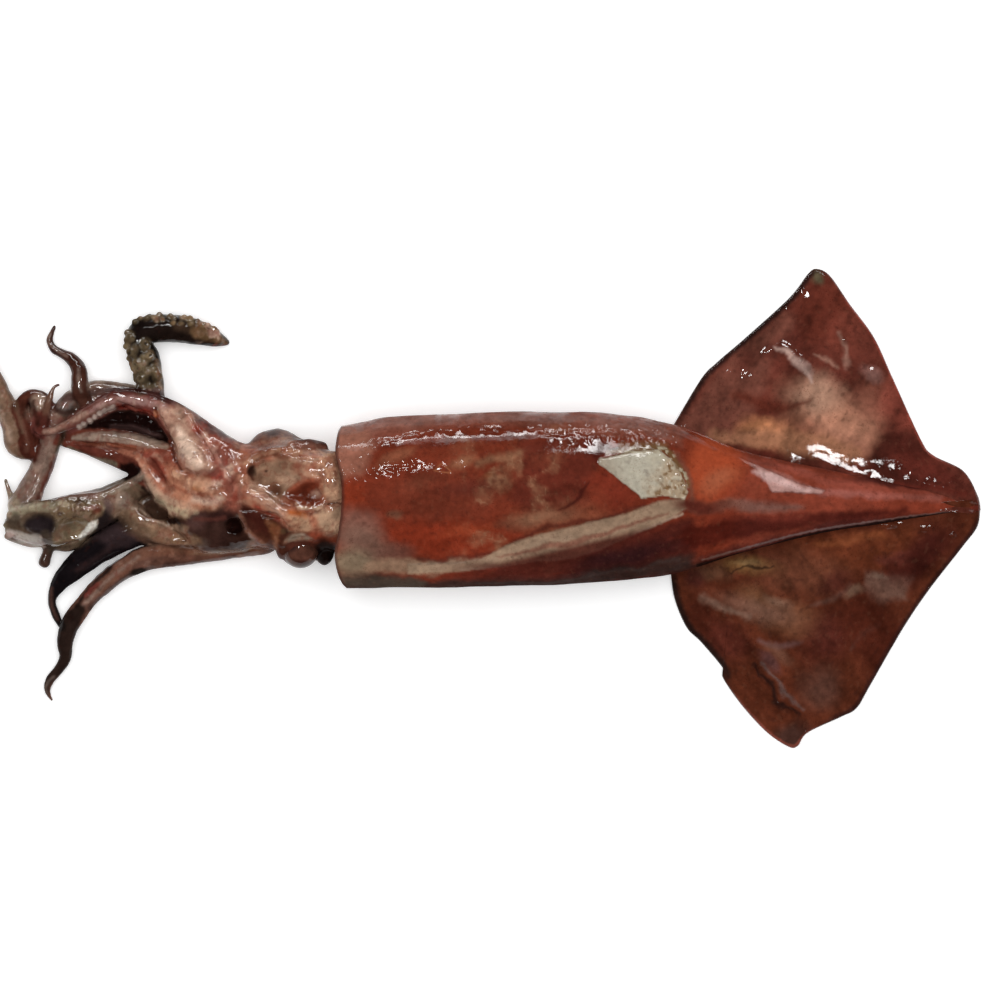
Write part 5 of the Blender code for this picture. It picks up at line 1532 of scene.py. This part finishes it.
# ---------------------------------------------------------------- the eye
def eye(material):
    """The eye that looks up: a round wet ball, darker below, with a pale crescent above that is a painted
    highlight.
    """
    rings, sides = 60, 96
    dip = np.linspace(0, math.pi, rings)[:, None]
    turn = np.linspace(0, 2 * math.pi, sides, endpoint=False)[None, :]
    ball = np.stack(np.broadcast_arrays(np.sin(dip) * np.cos(turn), np.sin(dip) * np.sin(turn),
                                        np.cos(dip)), axis=-1)
    radii = np.array((EYE_RADIUS * .96, EYE_RADIUS * .94, EYE_RADIUS))
    points = (np.asarray(EYE_CENTRE) + ball * radii).reshape(-1, 3)
    paint = Paint(points, (.066, .025, .016), waver=.6)
    x, y, _ = EYE_CENTRE
    paint.patch((.11, .042, .028), (x + 1.6, y - 3), (5, 3), 10, .9, .8)
    paint.patch((.022, .01, .009), (x - 3.8, y + 2), (3.2, 2.6), 30, .8, .85)
    paint.patch((.03, .008, .006), (x + 1, y - 5.8), (4.6, 1.6), 0, .8, .8)
    # painted highlight: the pale crescent over the top of the eye
    paint.stroke((.27, .225, .19), ((x - 5.4, y + 2.6), (x - 2.6, y + 4.6), (x + 1.6, y + 4.9),
        (x + 4.6, y + 3.6)), (.6, 1.6, 1.5, .6), 1.3, .9)
    paint.colour *= (1 + .5 * mottle(points, 3, 4, 86))[:, None]
    paint.gloss = np.ones(len(points))
    return add_mesh("eye", points, grid_faces(rings, sides, closed_columns=True), material, paint)


# ---------------------------------------------------------------- suckers, by geometry nodes
def node_chain(tree, kind, **inputs):
    """A new node, its inputs set by name or linked to a socket."""
    node = tree.nodes.new(kind)
    for name, value in inputs.items():
        socket = node.inputs[name.replace("_", " ")]
        if isinstance(value, bpy.types.NodeSocket):
            tree.links.new(value, socket)
        else:
            socket.default_value = value
    return node


def sucker_tree():
    """Cups on points: a rim round a dark hollow, turned outward and sized by the points."""
    tree = bpy.data.node_groups.new("sucker_cups", "GeometryNodeTree")
    tree.interface.new_socket("Places", in_out="INPUT", socket_type="NodeSocketGeometry")
    for name in ("Rim radius", "Rim thickness", "Stalk height"):
        tree.interface.new_socket(name, in_out="INPUT", socket_type="NodeSocketFloat")
    tree.interface.new_socket("Finish", in_out="INPUT", socket_type="NodeSocketMaterial")
    tree.interface.new_socket("Cups", in_out="OUTPUT", socket_type="NodeSocketGeometry")
    given = tree.nodes.new("NodeGroupInput")
    rim_line = node_chain(tree, "GeometryNodeCurvePrimitiveCircle", Resolution=18,
                          Radius=given.outputs["Rim radius"])
    rim_section = node_chain(tree, "GeometryNodeCurvePrimitiveCircle", Resolution=8,
                             Radius=given.outputs["Rim thickness"])
    rim = node_chain(tree, "GeometryNodeCurveToMesh", Curve=rim_line.outputs["Curve"],
                     Profile_Curve=rim_section.outputs["Curve"])
    hollow = node_chain(tree, "GeometryNodeMeshUVSphere", Segments=16, Rings=8,
        Radius=given.outputs["Rim radius"])
    flattened = node_chain(tree, "GeometryNodeTransform", Geometry=hollow.outputs["Mesh"],
        Scale=(.94, .94, .22))
    dark = node_chain(tree, "GeometryNodeStoreNamedAttribute", Geometry=flattened.outputs["Geometry"],
                      Name="hollow", Value=1)
    stalk = node_chain(tree, "GeometryNodeMeshCone", Vertices=16, Side_Segments=3,
                       Radius_Top=given.outputs["Rim radius"], Radius_Bottom=given.outputs["Rim thickness"],
                       Depth=given.outputs["Stalk height"])
    lowered = tree.nodes.new("GeometryNodeTransform")
    drop = tree.nodes.new("ShaderNodeMath")
    drop.operation = "MULTIPLY"
    tree.links.new(given.outputs["Stalk height"], drop.inputs[0])
    drop.inputs[1].default_value = -1
    offset = node_chain(tree, "ShaderNodeCombineXYZ", Z=drop.outputs[0])
    tree.links.new(stalk.outputs["Mesh"], lowered.inputs["Geometry"])
    tree.links.new(offset.outputs[0], lowered.inputs["Translation"])
    cup = tree.nodes.new("GeometryNodeJoinGeometry")
    for part in (rim.outputs["Mesh"], dark.outputs["Geometry"], lowered.outputs["Geometry"]):
        tree.links.new(part, cup.inputs[0])
    outward = tree.nodes.new("GeometryNodeInputNamedAttribute")
    outward.data_type = "FLOAT_VECTOR"
    outward.inputs["Name"].default_value = "outward"
    size = tree.nodes.new("GeometryNodeInputNamedAttribute")
    size.data_type = "FLOAT"
    size.inputs["Name"].default_value = "size"
    lean = tree.nodes.new("FunctionNodeAlignRotationToVector")
    lean.axis = "Z"
    tree.links.new(outward.outputs["Attribute"], lean.inputs["Vector"])
    placed = node_chain(tree, "GeometryNodeInstanceOnPoints", Points=given.outputs["Places"],
                        Instance=cup.outputs["Geometry"], Rotation=lean.outputs["Rotation"],
                        Scale=size.outputs["Attribute"])
    real = node_chain(tree, "GeometryNodeRealizeInstances", Geometry=placed.outputs["Instances"])
    smooth = node_chain(tree, "GeometryNodeSetShadeSmooth", Geometry=real.outputs["Geometry"])
    finish = node_chain(tree, "GeometryNodeSetMaterial", Geometry=smooth.outputs["Geometry"],
                        Material=given.outputs["Finish"])
    result = tree.nodes.new("NodeGroupOutput")
    tree.links.new(finish.outputs["Geometry"], result.inputs["Cups"])
    return tree


def suckers(name, tree, places, outward, sizes, material):
    """Sucker cups at places in millimetres, realized into one plain mesh."""
    mesh = bpy.data.meshes.new(name + "_places")
    mesh.from_pydata([Vector(p) * MM for p in places], [], [])
    mesh.attributes.new("outward", "FLOAT_VECTOR", "POINT").data.foreach_set(
        "vector", np.asarray(outward, float).ravel())
    mesh.attributes.new("size", "FLOAT", "POINT").data.foreach_set("value", np.asarray(sizes, float))
    holder = bpy.data.objects.new(name + "_places", mesh)
    bpy.context.scene.collection.objects.link(holder)
    modifier = holder.modifiers.new("cups", "NODES")
    modifier.node_group = tree
    named = {item.name: item.identifier for item in tree.interface.items_tree if item.in_out == "INPUT"}
    modifier[named["Rim radius"]] = SUCKER_RIM_RADIUS * MM
    modifier[named["Rim thickness"]] = SUCKER_RIM_THICKNESS * MM
    modifier[named["Stalk height"]] = SUCKER_STALK * MM
    modifier[named["Finish"]] = material
    bpy.context.view_layer.update()
    evaluated = holder.evaluated_get(bpy.context.evaluated_depsgraph_get())
    made = bpy.data.meshes.new_from_object(evaluated)
    made.name = name
    bpy.data.objects.remove(holder)
    obj = bpy.data.objects.new(name, made)
    bpy.context.scene.collection.objects.link(obj)
    return obj


def on_limb(name, share, lean):
    """A place on a limb's skin and its outward direction; lean is in degrees from straight up."""
    rows = LIMBS[name]
    place = share * (len(rows) - 1)
    x, y, radius, lift = between(rows, place)[0]
    ahead = between(rows, min(place + .05, len(rows) - 1))[0]
    behind = between(rows, max(place - .05, 0))[0]
    run = (ahead - behind)[:2] / np.linalg.norm((ahead - behind)[:2])
    angle = math.radians(lean)
    outward = np.array((-run[1] * math.sin(angle), run[0] * math.sin(angle), math.cos(angle)))
    return np.array((x, y, lift + radius)) + outward * radius, outward


SUCKER_ROWS = (  # limb, shares along it, count, leans in degrees and sizes at both ends of the row
    ("arm_hooked", .12, .42, 7, (34, 34), (.95, 1.05)), ("arm_hooked", .14, .4, 6, (-30, -28), (.85, .9)),
    ("arm_hooked", .46, .84, 8, (56, 50), (.85, .6)),
)
SUCKER_RIM_RADIUS = 1
SUCKER_RIM_THICKNESS = .42
SUCKER_STALK = 1.4
SUCKER_SINK = .9  # how deep the cups sit in the skin


def place_suckers(name, tree, material):
    """The rows of suckers on the hooked arm."""
    chance = np.random.default_rng(17)
    places, outward, sizes = [], [], []
    for limb, start, end, count, leans, scales in SUCKER_ROWS:
        for k in range(count):
            share = k / max(count - 1, 1)
            spot, normal = on_limb(
                limb, start + (end - start) * (share + chance.uniform(-.03, .03)),
                leans[0] + (leans[1] - leans[0]) * share + chance.uniform(-6, 6),
            )
            size = (scales[0] + (scales[1] - scales[0]) * share) * chance.uniform(.88, 1.12)
            places.append(spot - normal * SUCKER_SINK)
            outward.append(normal + chance.uniform(-.15, .15, 3))
            sizes.append(size)
    return suckers(name, tree, places, outward, sizes, material)


# ---------------------------------------------------------------- materials
FILM_IOR = 1.36


def new_material(name):
    """An empty node material with its surface shader."""
    material = bpy.data.materials.new(name)
    material.use_nodes = True
    nodes, links = material.node_tree.nodes, material.node_tree.links
    shader = nodes["Principled BSDF"]
    return material, nodes, links, shader


def noise_node(nodes, links, where, grain_mm, detail=3, roughness=.55):
    """Noise with grains of a size in millimetres, on the piece's own coordinates."""
    noise = nodes.new("ShaderNodeTexNoise")
    noise.inputs["Scale"].default_value = 1000 / grain_mm
    noise.inputs["Detail"].default_value = detail
    noise.inputs["Roughness"].default_value = roughness
    links.new(where, noise.inputs["Vector"])
    return noise.outputs["Fac"]


def attribute(nodes, name):
    """A value or colour that is stored on the mesh."""
    node = nodes.new("ShaderNodeAttribute")
    node.attribute_name = name
    return node.outputs


def grey_of(nodes, links, value):
    """A grey as light as the value."""
    grey = nodes.new("ShaderNodeCombineColor")
    for channel in ("Red", "Green", "Blue"):
        links.new(value, grey.inputs[channel])
    return grey.outputs["Color"]


def add_bump(nodes, links, heights, distance_mm, target):
    """Fine relief on a shader's normal."""
    bump = nodes.new("ShaderNodeBump")
    bump.inputs["Distance"].default_value = distance_mm * MM
    links.new(heights, bump.inputs["Height"])
    links.new(bump.outputs["Normal"], target)


def map_range(nodes, links, value, low, high, to_low, to_high):
    """A value carried from one range to another, and kept inside it."""
    node = nodes.new("ShaderNodeMapRange")
    links.new(value, node.inputs["Value"])
    for name, number in (("From Min", low), ("From Max", high), ("To Min", to_low), ("To Max", to_high)):
        node.inputs[name].default_value = number
    return node.outputs["Result"]


def mix_colour(nodes, links, kind, factor, a, b):
    """Two colours mixed; factor is a number or a socket."""
    node = nodes.new("ShaderNodeMix")
    node.data_type = "RGBA"
    node.blend_type = kind
    for socket, value in ((node.inputs[0], factor), (node.inputs[6], a), (node.inputs[7], b)):
        if isinstance(value, bpy.types.NodeSocket):
            links.new(value, socket)
        else:
            socket.default_value = value if isinstance(value, (int, float)) else (*value, 1)
    return node.outputs[2]


def wet_skin(name, bump_mm, film_mm, freckles):
    """Raw squid skin: the painted tint, fine mottling, pigment spots and a wet film over them."""
    material, nodes, links, shader = new_material(name)
    where = nodes.new("ShaderNodeTexCoord").outputs["Object"]
    film = attribute(nodes, "film")["Fac"]
    mottling = noise_node(nodes, links, where, 2.4, 4, .6)
    shade = map_range(nodes, links, mottling, .28, .72, .84, 1.16)
    colour = mix_colour(nodes, links, "MULTIPLY", 1, attribute(nodes, "tint")["Color"],
                        grey_of(nodes, links, shade))
    spots = nodes.new("ShaderNodeTexVoronoi")
    spots.inputs["Scale"].default_value = 1000 / .95
    spots.inputs["Randomness"].default_value = 1
    links.new(where, spots.inputs["Vector"])
    spot = map_range(nodes, links, spots.outputs["Distance"], .14, .3, freckles, 0)
    patchy = noise_node(nodes, links, where, 7, 2)
    there = map_range(nodes, links, patchy, .42, .62, 0, 1)
    both = nodes.new("ShaderNodeMath")
    both.operation = "MULTIPLY"
    links.new(spot, both.inputs[0])
    links.new(there, both.inputs[1])
    dark = mix_colour(nodes, links, "MULTIPLY", 1, colour, (.42, .22, .2))
    colour = mix_colour(nodes, links, "MIX", both.outputs[0], colour, dark)
    links.new(colour, shader.inputs["Base Color"])
    fine = noise_node(nodes, links, where, .9, 4, .6)
    pebbled = noise_node(nodes, links, where, 2.6, 2, .5)
    heights = nodes.new("ShaderNodeMath")
    heights.operation = "MULTIPLY_ADD"
    links.new(pebbled, heights.inputs[0])
    heights.inputs[1].default_value = 2
    links.new(fine, heights.inputs[2])
    add_bump(nodes, links, heights.outputs[0], bump_mm, shader.inputs["Normal"])
    add_bump(nodes, links, heights.outputs[0], film_mm, shader.inputs["Coat Normal"])
    links.new(map_range(nodes, links, film, 0, 1, .52, .34), shader.inputs["Roughness"])
    links.new(map_range(nodes, links, film, 0, .8, 0, 1), shader.inputs["Coat Weight"])
    shader.inputs["Specular IOR Level"].default_value = 0
    shader.inputs["Coat Roughness"].default_value = .05
    shader.inputs["Coat IOR"].default_value = FILM_IOR
    return material


def sucker_skin(name, colour, hollow_colour):
    """Suckers: pale muscle with a dark hollow, wet like the skin."""
    material, nodes, links, shader = new_material(name)
    where = nodes.new("ShaderNodeTexCoord").outputs["Object"]
    mottling = noise_node(nodes, links, where, .9, 3)
    uneven = map_range(nodes, links, mottling, .3, .7, 0, 1)
    darker = tuple(channel * .55 for channel in colour)
    flesh = mix_colour(nodes, links, "MIX", uneven, darker, colour)
    links.new(mix_colour(nodes, links, "MIX", attribute(nodes, "hollow")["Fac"], flesh, hollow_colour),
              shader.inputs["Base Color"])
    add_bump(nodes, links, mottling, .08, shader.inputs["Normal"])
    shader.inputs["Roughness"].default_value = .38
    shader.inputs["Coat Weight"].default_value = .9
    shader.inputs["Coat Roughness"].default_value = .08
    shader.inputs["Coat IOR"].default_value = FILM_IOR
    return material


# ---------------------------------------------------------------- table, light and camera
PICTURE_WIDTH = .436
CAMERA_HEIGHT = 3
FOCUS_HEIGHT = .01
TABLE_HALF = 1.6
TABLE_TOP = -.0002
TABLE_GLOW = .24
ROOM_LIGHT = .34


def table_top():
    """Pale table that the squid lies on."""
    points = np.array([(x * TABLE_HALF, y * TABLE_HALF, TABLE_TOP)
                       for x, y in ((-1, -1), (1, -1), (1, 1), (-1, 1))]) / MM
    material, nodes, links, shader = new_material("pale_table")
    where = nodes.new("ShaderNodeTexCoord").outputs["Object"]
    soft = noise_node(nodes, links, where, 60, 2)
    shade = map_range(nodes, links, soft, .3, .7, .965, .98)
    links.new(grey_of(nodes, links, shade), shader.inputs["Base Color"])
    shader.inputs["Roughness"].default_value = .9
    shader.inputs["Specular IOR Level"].default_value = 0
    shader.inputs["Emission Color"].default_value = (1, 1, 1, 1)
    shader.inputs["Emission Strength"].default_value = TABLE_GLOW
    table = add_mesh("table", points, np.array(((0, 1, 2, 3),)), material)


def soft_box(name, place, size, radiance, mirrored):
    """A lit panel that faces the squid: either it lights it, or the wet film mirrors it."""
    lamp = bpy.data.lights.new(name, "AREA")
    lamp.shape = "RECTANGLE"
    lamp.size, lamp.size_y = size
    lamp.energy = math.pi * size[0] * size[1] * radiance
    obj = bpy.data.objects.new(name, lamp)
    obj.location = place
    obj.rotation_euler = (-Vector(place)).to_track_quat("-Z", "Y").to_euler()
    obj.visible_glossy = mirrored
    obj.visible_diffuse = not mirrored
    bpy.context.scene.collection.objects.link(obj)


def studio():
    """White room light, a large soft box overhead, and bright windows beyond the upper side."""
    world = bpy.data.worlds.new("pale_room")
    world.use_nodes = True
    world.node_tree.nodes["Background"].inputs["Color"].default_value = (1, 1, 1, 1)
    world.node_tree.nodes["Background"].inputs["Strength"].default_value = ROOM_LIGHT
    world.cycles_visibility.glossy = False
    bpy.context.scene.world = world
    soft_box("ceiling", (0, .16, 1.5), (2.6, 2.2), 1.6, mirrored=False)
    soft_box("window_low", (-.03, 1.2, .68), (1.15, .1), 28, mirrored=True)
    soft_box("window_glow", (-.05, 1.16, .74), (.9, .34), 4, mirrored=True)
    soft_box("window_near", (-.29, .5, 1.12), (.19, .11), 90, mirrored=True)
    soft_box("window_tail", (.345, .78, 1), (.29, .26), 40, mirrored=True)
    bpy.context.scene.view_settings.view_transform = "Standard"


def camera_above():
    """Camera straight above the squid, so far off that it sees it without perspective."""
    data = bpy.data.cameras.new("camera")
    data.sensor_width = 36
    data.lens = data.sensor_width * (CAMERA_HEIGHT - FOCUS_HEIGHT) / PICTURE_WIDTH
    data.clip_end = 20
    obj = bpy.data.objects.new("camera", data)
    obj.location = (0, 0, CAMERA_HEIGHT)
    bpy.context.scene.collection.objects.link(obj)
    bpy.context.scene.camera = obj


# ---------------------------------------------------------------- the squid
def build():
    """Every piece of the squid stands for the one solid and moves with it."""
    skin = wet_skin("wet_skin", .1, .022, .55)
    flesh = wet_skin("wet_flesh", .09, .018, .35)
    cornea = wet_skin("wet_eye", .03, .012, .3)
    cups = sucker_skin("sucker_olive", (.15, .098, .05), (.014, .008, .006))
    pieces = [
        *mantle(skin),
        fin("left", skin),
        fin("right", skin),
        *head_and_arms(flesh),
        eye(cornea),
        place_suckers("suckers_olive", sucker_tree(), cups),
    ]
    for piece in pieces:
        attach(piece, "root")
        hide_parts("squid")


table_top()
studio()
camera_above()
build()
